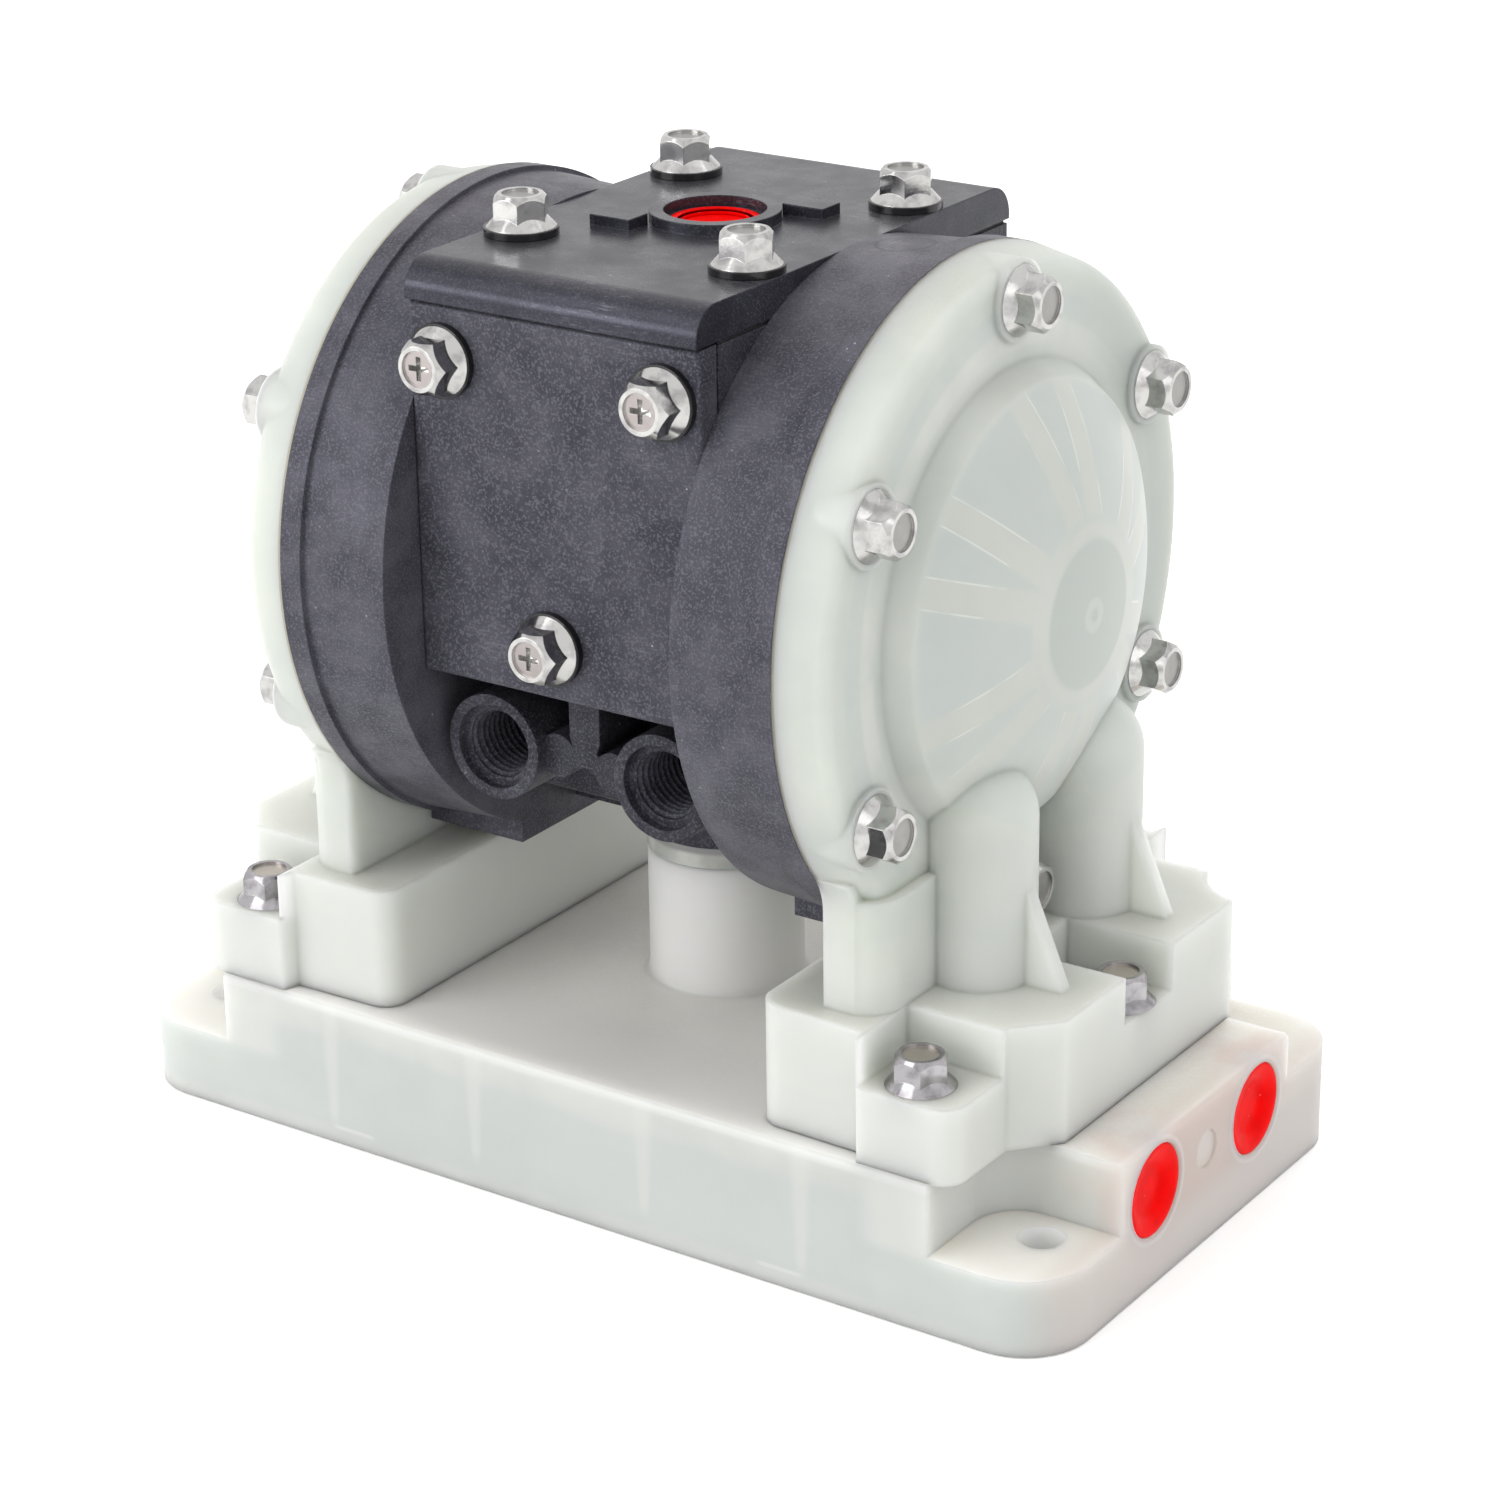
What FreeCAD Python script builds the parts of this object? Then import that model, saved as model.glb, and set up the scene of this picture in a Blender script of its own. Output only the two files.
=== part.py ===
import FreeCAD, Part
import math
import os
import Sketcher

# Air operated double diaphragm pump for quarter inch pipe, in millimetres.
# Origin: middle of the underside. +X runs along the diaphragm shaft, -Y is the front, +Z is up.

document = FreeCAD.newDocument("diaphragm_pump")
sheet = document.addObject("Spreadsheet::Sheet", "sizes")

DRIVING_SIZES = [
    # base
    ("base_length", 182.2, "length of the base along the shaft"),
    ("base_width", 97.0, "width of the base, front to back"),
    ("base_height", 25.3, "top face of the base above the floor"),
    ("base_corner", 11.5, "radius of the upright corners of the base"),
    ("base_edge", 1.0, "rounding of the top edge of the base"),
    ("base_wall", 3.0, "outer wall round the coring of the base"),
    ("base_deck", 3.8, "thickness of the top deck of the base"),
    ("base_rib", 2.4, "thickness of the ribs under the base"),
    ("rib_inner", 16.0, "inner cross ribs, from the middle"),
    ("rib_outer", 47.0, "outer cross ribs, from the middle"),
    ("channel_offset", 16.4, "suction and discharge channels, front and back of the middle"),
    ("channel_height", 16.3, "channel axis above the floor"),
    ("channel_bore", 5.0, "radius of the long channels"),
    ("channel_wall", 3.5, "plastic round a channel"),
    ("drop_bore", 4.4, "radius of the drops between valve pockets and channels"),
    ("pipe_bore", 5.65, "radius of the tapped length of a quarter inch port"),
    ("pipe_depth", 15.0, "depth of the tapped length"),
    ("port_mouth", 6.95, "radius of the relief at the mouth of a port"),
    ("port_relief", 1.6, "depth of the relief at the mouth of a port"),
    ("channel_mouth", 7.75, "radius of the relief at the mouth of a channel port"),
    ("mount_x", 80.8, "mounting holes, from the middle along the base"),
    ("mount_y", 33.6, "mounting holes, from the middle across the base"),
    ("mount_bore", 3.5, "radius of a mounting hole"),
    ("mount_floor", 13.0, "floor of a front corner recess above the ground"),
    ("mount_floor_back", 17.6, "floor of a back corner recess above the ground"),
    ("recess_start_x", 69.5, "inner side of a corner recess along the base"),
    ("recess_start_y", 27.0, "inner side of a corner recess across the base"),
    ("recess_corner", 8.0, "radius of the inner corner of a recess"),
    ("gate_mark", 3.2, "radius of the round mark between the ports"),
    ("gate_depth", 0.4, "depth of the round mark"),
    # centre post
    ("post_radius", 13.0, "outside of the hollow post under the centre body"),
    ("post_bore", 10.0, "inside of the post"),
    ("post_top", 48.4, "top of the post above the floor"),
    ("post_foot", 1.2, "rounding where the post meets the deck"),
    ("silencer_ledge", 8.0, "opening that carries the silencer"),
    # line of the shaft and the joint planes along it
    ("shaft_height", 101.15, "shaft axis above the floor"),
    ("body_half", 27.0, "centre body, from the middle to each air chamber"),
    ("joint_plane", 46.2, "where air chamber and outer chamber meet"),
    # air chamber
    ("air_draft", 0.9, "how much slimmer the air chamber is at the centre body than below its lip"),
    ("air_lip_step", 0.8, "how far the lip at the joint stands out"),
    ("air_lip_width", 4.0, "width of the lip"),
    ("air_floor", 4.5, "wall between the air side and the centre body"),
    ("air_bowl_floor", 18.0, "radius of the flat floor of the air side"),
    ("air_bowl_bend", 24.0, "radius where the bowl steepens"),
    ("tab_half", 20.0, "half width of the flat foot tab"),
    ("tab_bottom", 48.7, "underside of the foot tab above the floor"),
    # diaphragm
    ("bead_inner", 39.0, "inner radius of the clamped bead"),
    ("bead_outer", 43.0, "outer radius of the clamped bead"),
    ("bead_half", 1.4, "half thickness of the bead"),
    ("diaphragm_half", 0.9, "half thickness of the diaphragm"),
    ("roll_depth", 5.0, "depth of the rolled ring of the diaphragm"),
    ("roll_inner", 22.5, "inner radius of the rolled ring"),
    ("roll_outer", 36.5, "outer radius of the rolled ring"),
    # outer chamber
    ("rim_radius", 52.8, "radius of the outer chamber at its face"),
    ("rim_draft", 1.6, "how much wider the outer chamber is at the joint"),
    ("rim_face", 54.5, "outer face of the rim, from the middle"),
    ("rim_edge", 2.2, "rounding of the rim"),
    ("bolt_seat", 55.5, "seat of the chamber bolts, from the middle"),
    ("bolt_circle", 47.5, "radius of the circle of chamber bolts"),
    ("ear_radius", 6.4, "plastic round a chamber bolt"),
    ("crown_radius", 35.0, "radius of the raised crown"),
    ("crown_shoulder", 58.5, "edge of the crown, from the middle"),
    ("crown_top", 69.0, "centre of the crown, from the middle"),
    ("crown_sphere", 63.6, "radius of the crown's curve"),
    ("chamber_wall", 3.6, "wall of the fluid chamber"),
    ("apron_half", 41.0, "half width of the flat apron under the rim"),
    ("apron_face", 52.0, "outer face of the apron, from the middle"),
    ("apron_blend", 10.0, "hollow rounding between the rim and the edge of the apron"),
    ("leg_face", 56.4, "outer face of a leg, from the middle"),
    ("leg_round", 6.0, "rounding of the outer edge of a leg"),
    ("leg_top", 64.5, "top of a leg above the floor"),
    ("column_x", 59.0, "axes of the valve columns, from the middle"),
    ("column_radius", 9.0, "outside of a valve column"),
    ("column_bore", 5.6, "inside of a valve column"),
    ("column_top", 72.0, "centre of the rounded top of a column"),
    ("crossing_bore", 4.6, "radius of the crossing from column to chamber"),
    ("gusset_width", 2.6, "thickness of a gusset"),
    ("gusset_foot", 74.5, "foot of a gusset, from the middle"),
    ("gusset_head", 65.0, "head of a gusset above the floor"),
    # foot block of the outer chamber
    ("foot_top", 46.0, "top of the foot block above the floor"),
    ("foot_inner", 36.2, "inner end of the foot block, from the middle"),
    ("foot_outer", 80.0, "outer end of the foot block, from the middle"),
    ("foot_front", 48.0, "front of the foot block at the bolt ledge"),
    ("foot_waist", 44.8, "front of the foot block beside the bolt ledge"),
    ("foot_shoulder", 25.5, "where the outer end starts to cut in"),
    ("ledge_floor", 38.0, "bolt ledge above the floor"),
    ("ledge_start", 56.5, "inner end of a bolt ledge"),
    ("ledge_end", 73.6, "outer end of a bolt ledge"),
    ("ledge_back", 33.5, "back of a bolt ledge"),
    ("back_ledge_floor", 34.5, "bolt ledge at the back above the floor"),
    ("back_ledge_end", 70.2, "outer end of the bolt ledge at the back"),
    ("back_ledge_wall", 35.6, "inner side of the bolt ledge at the back"),
    ("shoulder_bend", 11.0, "hollow of the shoulder at the back of the foot"),
    ("ledge_corner", 4.0, "corner radius of a bolt ledge"),
    ("notch_start", 61.0, "inner end of the middle bolt notch"),
    ("notch_half", 7.5, "half width of the middle bolt notch"),
    ("side_bolt_x", 64.0, "outer base bolts, from the middle"),
    ("side_bolt_y", 41.5, "outer base bolts, front and back"),
    ("middle_bolt_x", 75.0, "middle base bolt, from the middle"),
    # ball valves
    ("ball_radius", 4.7625, "three eighths inch ball"),
    ("seat_bore", 3.6, "radius of the opening in a seat"),
    ("seat_chamfer", 1.0, "chamfer of a seat"),
    ("seat_height", 4.0, "height of a seat"),
    ("suction_seat_radius", 8.4, "outside of a suction seat"),
    ("cage_radius", 6.5, "outside of a ball cage"),
    ("cage_bore", 5.5, "inside of a ball cage"),
    ("cage_bar", 1.6, "thickness and width of the bars of a cage"),
    ("suction_cage_top", 37.0, "top of the suction cage above the floor"),
    ("discharge_seat_top", 44.0, "top of the discharge seat above the floor"),
    ("pocket_ledge", 4.0, "depth of the valve pockets in the base"),
    ("spring_radius", 3.4, "outside of a valve spring"),
    ("spring_wire", 0.7, "wall of the space taken by a valve spring"),
    ("seal_circle", 10.4, "centre circle of a manifold seal"),
    ("seal_cord", 0.9, "cord radius of a manifold seal"),
    ("valve_gap", 0.05, "clearance between loose valve pieces"),
    # centre body
    ("body_front", 38.5, "front face of the centre body"),
    ("body_back", 43.5, "back face of the centre body"),
    ("body_top", 146.9, "top face of the centre body"),
    ("body_shelf", 87.0, "underside of the front block above the floor"),
    ("body_low", 62.0, "underside of the middle block"),
    ("recess_front", 24.0, "recessed face behind the front ports"),
    ("neck_bottom", 52.0, "underside of the neck above the floor"),
    ("neck_front", 5.0, "front of the neck"),
    ("neck_back", 22.0, "back of the neck"),
    ("front_port_x", 16.1, "axes of the front ports, from the middle"),
    ("front_port_height", 75.1, "axes of the front ports above the floor"),
    ("front_port_face", 40.5, "mouth of the front ports"),
    ("front_port_radius", 8.75, "outside of a front port"),
    ("web_face", 38.0, "front face of the web between the ports"),
    ("web_width", 5.8, "width of the upright arm of the web"),
    ("web_lobe", 3.6, "radius of the lobes of the web"),
    ("web_lobe_x", 5.4, "lobes of the web, from the middle"),
    ("bush_radius", 7.0, "bore for the shaft bushes"),
    ("bush_length", 13.0, "length of a shaft bush"),
    ("bush_room", 16.0, "depth of the bore for bush and seal"),
    ("shaft_clearance_bore", 6.0, "bore between the seals"),
    ("spool_height", 128.0, "axis of the air valve above the floor"),
    ("sleeve_bore", 9.5, "bore for the valve sleeve"),
    ("inlet_bore", 6.5, "air passage from the inlet"),
    ("exhaust_offset", 12.0, "exhaust passage behind the middle"),
    ("exhaust_bore", 4.0, "radius of the exhaust passage"),
    # covers
    ("gasket", 0.6, "thickness of a cover gasket"),
    ("gasket_inset", 0.4, "gasket edge inside the cover edge"),
    ("front_cover_thickness", 4.4, "thickness of the front cover"),
    ("top_cover_thickness", 6.0, "thickness of the top cover"),
    ("top_cover_half", 44.2, "half width of the top cover"),
    ("top_cover_round", 5.2, "rounding of the long edges of the top cover"),
    ("cover_edge", 0.8, "small rounding of cover edges"),
    ("inlet_boss", 10.4, "outside of the inlet boss"),
    ("inlet_boss_height", 1.8, "height of the inlet boss"),
    ("inlet_recess", 8.15, "recess inside the inlet boss"),
    ("inlet_recess_depth", 1.9, "depth of the recess"),
    ("pad_x", 11.0, "raised pads on the top cover, from the middle"),
    ("pad_y", 10.5, "raised pads on the top cover, front and back"),
    ("pad_length", 7.5, "length of a raised pad"),
    ("pad_width", 5.0, "width of a raised pad"),
    ("pad_height", 1.8, "height of a raised pad"),
    ("top_bolt_x", 21.1, "top cover bolts, from the middle"),
    ("top_bolt_y", 22.2, "top cover bolts, front and back"),
    ("front_bolt_x", 20.55, "upper front cover bolts, from the middle"),
    ("front_bolt_high", 138.6, "upper front cover bolts above the floor"),
    ("front_bolt_low", 95.6, "lower front cover bolt above the floor"),
    ("front_bolt_low_x", -1.6, "lower front cover bolt, from the middle"),
    # bolts
    ("bolt_flats", 8.0, "width across flats of a bolt head"),
    ("bolt_head", 5.2, "height of a bolt head with its flange"),
    ("bolt_flange", 5.6, "radius of the flange of a bolt"),
    ("bolt_flange_height", 1.7, "height of the flange"),
    ("bolt_dish", 2.9, "radius of the dished top of a bolt"),
    ("bolt_dish_depth", 0.4, "depth of the dished top"),
    ("bolt_shank", 2.45, "radius of a bolt"),
    ("bolt_hole", 2.5, "radius of a bolt hole"),
    ("chamber_bolt_length", 22.0, "chamber bolt below its flange"),
    ("base_bolt_length", 22.0, "base bolt below its flange"),
    ("cover_bolt_length", 20.0, "cover bolt below its flange"),
    ("cross_slot", 0.9, "width of the cross recess"),
    ("cross_length", 3.8, "length of the cross recess"),
    ("cross_depth", 1.5, "depth of the cross recess"),
    ("washer_radius", 5.9, "outside of a black washer"),
    ("washer_thickness", 1.2, "thickness of a black washer"),
    # shaft group
    ("shaft_radius", 5.0, "radius of the diaphragm shaft"),
    ("shaft_half", 42.3, "shoulder of the shaft, from the middle"),
    ("stud_radius", 3.0, "threaded end of the shaft"),
    ("stud_length", 7.4, "length of the threaded end"),
    ("pilot_groove_depth", 0.7, "depth of a pilot groove"),
    ("pilot_groove_start", 5.0, "inner end of a pilot groove"),
    ("pilot_groove_end", 8.5, "outer end of a pilot groove"),
    ("inner_disc_radius", 20.0, "radius of the air side disc"),
    ("outer_disc_radius", 21.0, "radius of the fluid side disc"),
    ("outer_disc_thickness", 4.6, "thickness of the fluid side disc"),
    ("outer_disc_rim", 1.6, "thickness of its rim"),
    ("fit_gap", 0.03, "clearance of running and seated fits"),
    ("shaft_seal_cord", 0.9, "cord radius of a shaft seal"),
    # air valve
    ("spool_radius", 6.4, "radius of the spool lands"),
    ("spool_neck", 4.0, "radius of the spool necks"),
    ("spool_half", 19.0, "half length of the spool"),
    ("land_half", 2.8, "half length of the middle land"),
    ("land_length", 3.8, "length of an end land"),
    ("spool_seal_cord", 0.8, "cord radius of a spool seal"),
    ("sleeve_port", 1.6, "radius of the ports in the sleeve"),
    ("sleeve_port_x", 9.0, "chamber ports of the sleeve, from the middle"),
    ("exhaust_port_x", 13.0, "exhaust ports of the sleeve, from the middle"),
    # plugs
    ("plug_flange", 1.4, "thickness of the flange of a plug"),
    ("plug_length", 10.0, "length of a plug in its port"),
    ("plug_wall", 1.1, "wall of a plug"),
]

for row, (alias, value, note) in enumerate(DRIVING_SIZES, start=1):
    sheet.set(f"A{row}", note)
    sheet.set(f"B{row}", str(value))
    sheet.setAlias(f"B{row}", alias)
document.recompute()


class Length:
    """A size that carries both its value and the formula that ties it to the sheet."""

    def __init__(self, value, formula):
        self.value = value
        self.formula = formula

    def __add__(self, other):
        other = as_length(other)
        return Length(self.value + other.value, f"({self.formula} + {other.formula})")

    def __sub__(self, other):
        other = as_length(other)
        return Length(self.value - other.value, f"({self.formula} - {other.formula})")

    def __mul__(self, other):
        other = as_length(other)
        return Length(self.value * other.value, f"({self.formula} * {other.formula})")

    def __truediv__(self, other):
        other = as_length(other)
        return Length(self.value / other.value, f"({self.formula} / {other.formula})")

    def __neg__(self):
        return Length(-self.value, f"(0 - {self.formula})")

    def root(self):
        return Length(math.sqrt(self.value), f"sqrt({self.formula})")


def as_length(number):
    """A plain number as a length with no tie to the sheet."""
    if isinstance(number, Length):
        return number
    return Length(float(number), f"{float(number):.6f}")


class Sizes:
    """The sheet's driving sizes by name."""


s = Sizes()
for alias, value, note in DRIVING_SIZES:
    setattr(s, alias, Length(value, f"sizes.{alias}"))


def turned_by(radius, degrees):
    """Both legs of a radius turned from the first axis by an angle."""
    cosine = Length(math.cos(math.radians(degrees)), f"cos({degrees} deg)")
    sine = Length(math.sin(math.radians(degrees)), f"sin({degrees} deg)")
    return radius * cosine, radius * sine


def bind(thing, field, length):
    """Ties one field of an object to the sheet."""
    thing.setExpression(field, as_length(length).formula)


def put(thing, x=0, y=0, z=0):
    """Places an object by its three coordinates."""
    for axis, length in zip("xyz", (x, y, z)):
        bind(thing, f"Placement.Base.{axis}", length)


# sketches on the planes of a body

def new_body(name, x=0, y=0, z=0):
    """An empty body with its name as label and its place from the sheet."""
    body = document.addObject("PartDesign::Body", name)
    body.Label = name
    put(body, x, y, z)
    return body


def new_sketch(body, name, plane, lift=0):
    """An empty sketch on an origin plane of the body, lifted along the plane's normal."""
    flat = body.newObject("Sketcher::SketchObject", name)
    support = next(item for item in body.Origin.OriginFeatures if item.Role == plane)
    flat.AttachmentSupport = [(support, "")]
    flat.MapMode = "FlatFace"
    bind(flat, "AttachmentOffset.Base.z", lift)
    return flat


def dimension(flat, kind, *references, length):
    """Adds one dimension to a sketch and ties it to the sheet."""
    length = as_length(length)
    number = flat.addConstraint(Sketcher.Constraint(kind, *references, length.value))
    flat.setExpression(f"Constraints[{number}]", length.formula)


def pin(flat, piece, end, point):
    """Ties an end or a centre to its two coordinates from the sketch origin."""
    dimension(flat, "DistanceX", -1, 1, piece, end, length=point[0])
    dimension(flat, "DistanceY", -1, 1, piece, end, length=point[1])


def draw_side(flat, start, end, bend):
    """Draws one side of an outline and returns its number and the ends it runs between.

    A bend above zero is the radius of an arc with its centre left of the way,
    and a bend below zero has its centre right of the way.
    """
    if bend is None:
        return flat.addGeometry(Part.LineSegment(start, end)), 1, 2
    chord = end - start
    rise = math.sqrt(max(bend.value ** 2 - (chord.Length / 2) ** 2, 0))
    left = FreeCAD.Vector(-chord.y, chord.x, 0).normalize()
    side = 1 if bend.value > 0 else -1
    centre = (start + end) * 0.5 + left * (rise * side)
    angles = [math.atan2(point.y - centre.y, point.x - centre.x) for point in (start, end)]
    circle = Part.Circle(centre, FreeCAD.Vector(0, 0, 1), abs(bend.value))
    if side > 0:
        return flat.addGeometry(Part.ArcOfCircle(circle, angles[0], angles[1])), 1, 2
    return flat.addGeometry(Part.ArcOfCircle(circle, angles[1], angles[0])), 2, 1


def draw_outline(flat, corners):
    """A closed outline: each corner is (u, v), or (u, v, bend) where an arc leads on from it."""
    corners = [tuple(as_length(value) for value in corner) for corner in corners]
    points = [FreeCAD.Vector(corner[0].value, corner[1].value, 0) for corner in corners]
    sides = []
    for index, corner in enumerate(corners):
        bend = corner[2] if len(corner) > 2 else None
        sides.append(draw_side(flat, points[index], points[(index + 1) % len(points)], bend) + (bend,))
    for index, (piece, first, last, bend) in enumerate(sides):
        following = sides[(index + 1) % len(sides)]
        flat.addConstraint(Sketcher.Constraint("Coincident", piece, last, following[0], following[1]))
        pin(flat, piece, first, corners[index])
        if bend is not None:
            radius = bend if bend.value > 0 else -bend
            dimension(flat, "Radius", piece, length=radius)


def draw_circles(flat, centres, radius):
    """Equal circles about their centres."""
    radius = as_length(radius)
    for centre in centres:
        middle = FreeCAD.Vector(as_length(centre[0]).value, as_length(centre[1]).value, 0)
        piece = flat.addGeometry(Part.Circle(middle, FreeCAD.Vector(0, 0, 1), radius.value))
        pin(flat, piece, 3, centre)
        dimension(flat, "Radius", piece, length=radius)


def rectangle(low_u, high_u, low_v, high_v):
    """The corners of an upright rectangle."""
    return [(low_u, low_v), (high_u, low_v), (high_u, high_v), (low_u, high_v)]


# features of a body

def extrude(body, kind, flat, name, depth, backwards):
    """A pad or a pocket of a sketch."""
    feature = body.newObject(f"PartDesign::{kind}", name)
    feature.Profile = flat
    feature.Reversed = backwards
    bind(feature, "Length", depth)
    body.Tip = feature
    return feature


def slab(body, name, plane, outlines, height, lift=0, backwards=False):
    """Adds flat outlines with a thickness along the plane's normal."""
    flat = new_sketch(body, f"{name}_sketch", plane, lift)
    for corners in outlines:
        draw_outline(flat, corners)
    return extrude(body, "Pad", flat, name, height, backwards)


def cutout(body, name, plane, outlines, depth, lift=0, backwards=False):
    """Cuts flat outlines against the plane's normal, or along it where backwards is set."""
    flat = new_sketch(body, f"{name}_sketch", plane, lift)
    for corners in outlines:
        draw_outline(flat, corners)
    return extrude(body, "Pocket", flat, name, depth, backwards)


def bosses(body, name, plane, centres, radius, height, lift=0, backwards=False):
    """Adds equal round bosses along the plane's normal."""
    flat = new_sketch(body, f"{name}_sketch", plane, lift)
    draw_circles(flat, centres, radius)
    return extrude(body, "Pad", flat, name, height, backwards)


def bores(body, name, plane, centres, radius, depth, lift=0, backwards=False):
    """Cuts equal round holes against the plane's normal, or along it where backwards is set."""
    flat = new_sketch(body, f"{name}_sketch", plane, lift)
    draw_circles(flat, centres, radius)
    return extrude(body, "Pocket", flat, name, depth, backwards)


def turned(body, name, plane, corners, axis, kind="Revolution"):
    """Turns an outline about the sketch's own H_Axis or V_Axis."""
    flat = new_sketch(body, f"{name}_sketch", plane)
    draw_outline(flat, corners)
    feature = body.newObject(f"PartDesign::{kind}", name)
    feature.Profile = flat
    feature.ReferenceAxis = (flat, [axis])
    feature.Angle = 360
    body.Tip = feature
    return feature


def round_edges(body, name, radius, wanted):
    """Rounds the edges of the body that the test picks."""
    document.recompute()
    base = body.Tip
    names = [f"Edge{number}" for number, edge in enumerate(base.Shape.Edges, start=1) if wanted(edge)]
    if not names:
        raise ValueError(f"{name} found no edge")
    fillet = body.newObject("PartDesign::Fillet", name)
    fillet.Base = (base, names)
    bind(fillet, "Radius", radius)
    body.Tip = fillet
    return fillet


def runs_along(edge, axis):
    """True for a straight edge along one axis of the body."""
    if not isinstance(edge.Curve, Part.Line):
        return False
    return abs(abs(getattr(edge.Curve.Direction, axis)) - 1) < 1e-6


def lies_at(edge, **limits):
    """True where the middle of the edge's box has the given coordinates."""
    centre = edge.BoundBox.Center
    return all(abs(getattr(centre, axis) - value) < 0.01 for axis, value in limits.items())


# plain solids

def cylinder(name, radius, height, x=0, y=0, z=0, axis="z"):
    """A cylinder from its foot along an axis."""
    solid = document.addObject("Part::Cylinder", name)
    turn = {
        "x": FreeCAD.Rotation(FreeCAD.Vector(0, 1, 0), 90),
        "y": FreeCAD.Rotation(FreeCAD.Vector(1, 0, 0), -90),
        "z": FreeCAD.Rotation(),
    }
    solid.Placement = FreeCAD.Placement(FreeCAD.Vector(), turn[axis])
    bind(solid, "Radius", radius)
    bind(solid, "Height", height)
    put(solid, x, y, z)
    return solid


def block(name, length, width, height, x=0, y=0, z=0):
    """A box from its low corner."""
    solid = document.addObject("Part::Box", name)
    for field, size in (("Length", length), ("Width", width), ("Height", height)):
        bind(solid, field, size)
    put(solid, x, y, z)
    return solid


def cut(name, base, tool):
    """One solid less another."""
    result = document.addObject("Part::Cut", name)
    result.Base = base
    result.Tool = tool
    result.Label = name
    return result


def fuse(name, solids):
    """Several solids as one."""
    result = document.addObject("Part::MultiFuse", name)
    result.Shapes = solids
    result.Label = name
    return result


def copies(name, pattern, places):
    """Separate solids of one pattern, each at its place and turn."""
    links = []
    for number, (x, y, z, rotation) in enumerate(places, start=1):
        link = document.addObject("App::Link", f"{name}_{number}")
        link.LinkedObject = pattern
        link.Placement = FreeCAD.Placement(FreeCAD.Vector(), rotation)
        put(link, x, y, z)
        links.append(link)
    group = document.addObject("Part::Compound", name)
    group.Links = links
    group.Label = name
    return group


def mirrored(name, source):
    """The same piece on the other side of the middle plane."""
    result = document.addObject("Part::Mirroring", name)
    result.Source = source
    result.Normal = FreeCAD.Vector(1, 0, 0)
    result.Label = name
    return result


UPRIGHT = FreeCAD.Rotation()
POINTS_RIGHT = FreeCAD.Rotation(FreeCAD.Vector(0, 1, 0), 90)
POINTS_FRONT = FreeCAD.Rotation(FreeCAD.Vector(1, 0, 0), 90)
SIDES = (-1, 1)
nodes = {}


def keep(name, thing):
    """Files a finished sub-part under its name."""
    nodes[name] = thing
    return thing


half_length = s.base_length / 2
half_width = s.base_width / 2
suction_y = -s.channel_offset
discharge_y = s.channel_offset
COLUMN_PLACES = [(s.column_x * side, s.channel_offset * way) for side in SIDES for way in SIDES]


# Base: one moulding of natural polypropylene with both channels, the valve pockets and the post.
# It is cored from below, so ribs and channels show through the wall.

base = keep("base_manifold", new_body("base_manifold"))
slab(base, "base_block", "XY_Plane",
     [rectangle(-half_length, half_length, -half_width, half_width)], s.base_height)
round_edges(base, "base_corners", s.base_corner, lambda edge: runs_along(edge, "z"))
round_edges(base, "base_top_edge", s.base_edge, lambda edge: lies_at(edge, z=s.base_height.value))

# coring from below
half_rib = s.base_rib / 2
channel_outer = s.pipe_bore + s.channel_wall
tube_inner_y = s.channel_offset - channel_outer + half_rib
tube_outer_y = s.channel_offset + channel_outer - half_rib
lane_y = (tube_outer_y + half_width) / 2
outer_lanes = [
    (tube_outer_y + s.base_rib, lane_y - half_rib),
    (lane_y + half_rib, half_width - s.base_wall),
]
cross_bays = [
    (half_rib - s.rib_inner, s.rib_inner - half_rib),
    (s.rib_inner + half_rib, s.rib_outer - half_rib),
    (half_rib - s.rib_outer, -s.rib_inner - half_rib),
]
deep_cells = [rectangle(low, high, -tube_inner_y, tube_inner_y) for low, high in cross_bays]
shallow_cells = []
for way in SIDES:
    for low, high in cross_bays:
        for near, far in outer_lanes:
            deep_cells.append(rectangle(low, high, near * way, far * way))
        shallow_cells.append(rectangle(low, high, (tube_inner_y + s.base_rib) * way, tube_outer_y * way))
end_bay = s.rib_outer + half_rib
side_boss = s.side_bolt_x - s.bolt_flange
middle_boss = s.middle_bolt_x - s.bolt_flange
recess_rib = s.recess_start_x - s.base_wall
for side in SIDES:
    deep_cells.append(rectangle(end_bay * side, middle_boss * side, -tube_inner_y, tube_inner_y))
    for way in SIDES:
        lane_ends = (recess_rib, side_boss)
        for (near, far), lane_end in zip(outer_lanes, lane_ends):
            deep_cells.append(rectangle(end_bay * side, lane_end * side, near * way, far * way))
        shallow_cells.append(rectangle(end_bay * side, recess_rib * side,
                                       (tube_inner_y + s.base_rib) * way, tube_outer_y * way))
deck_underside = s.base_height - s.base_deck
cutout(base, "deep_coring", "XY_Plane", deep_cells, deck_underside, backwards=True)
cutout(base, "shallow_coring", "XY_Plane", shallow_cells,
       s.channel_height - channel_outer, backwards=True)

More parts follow.
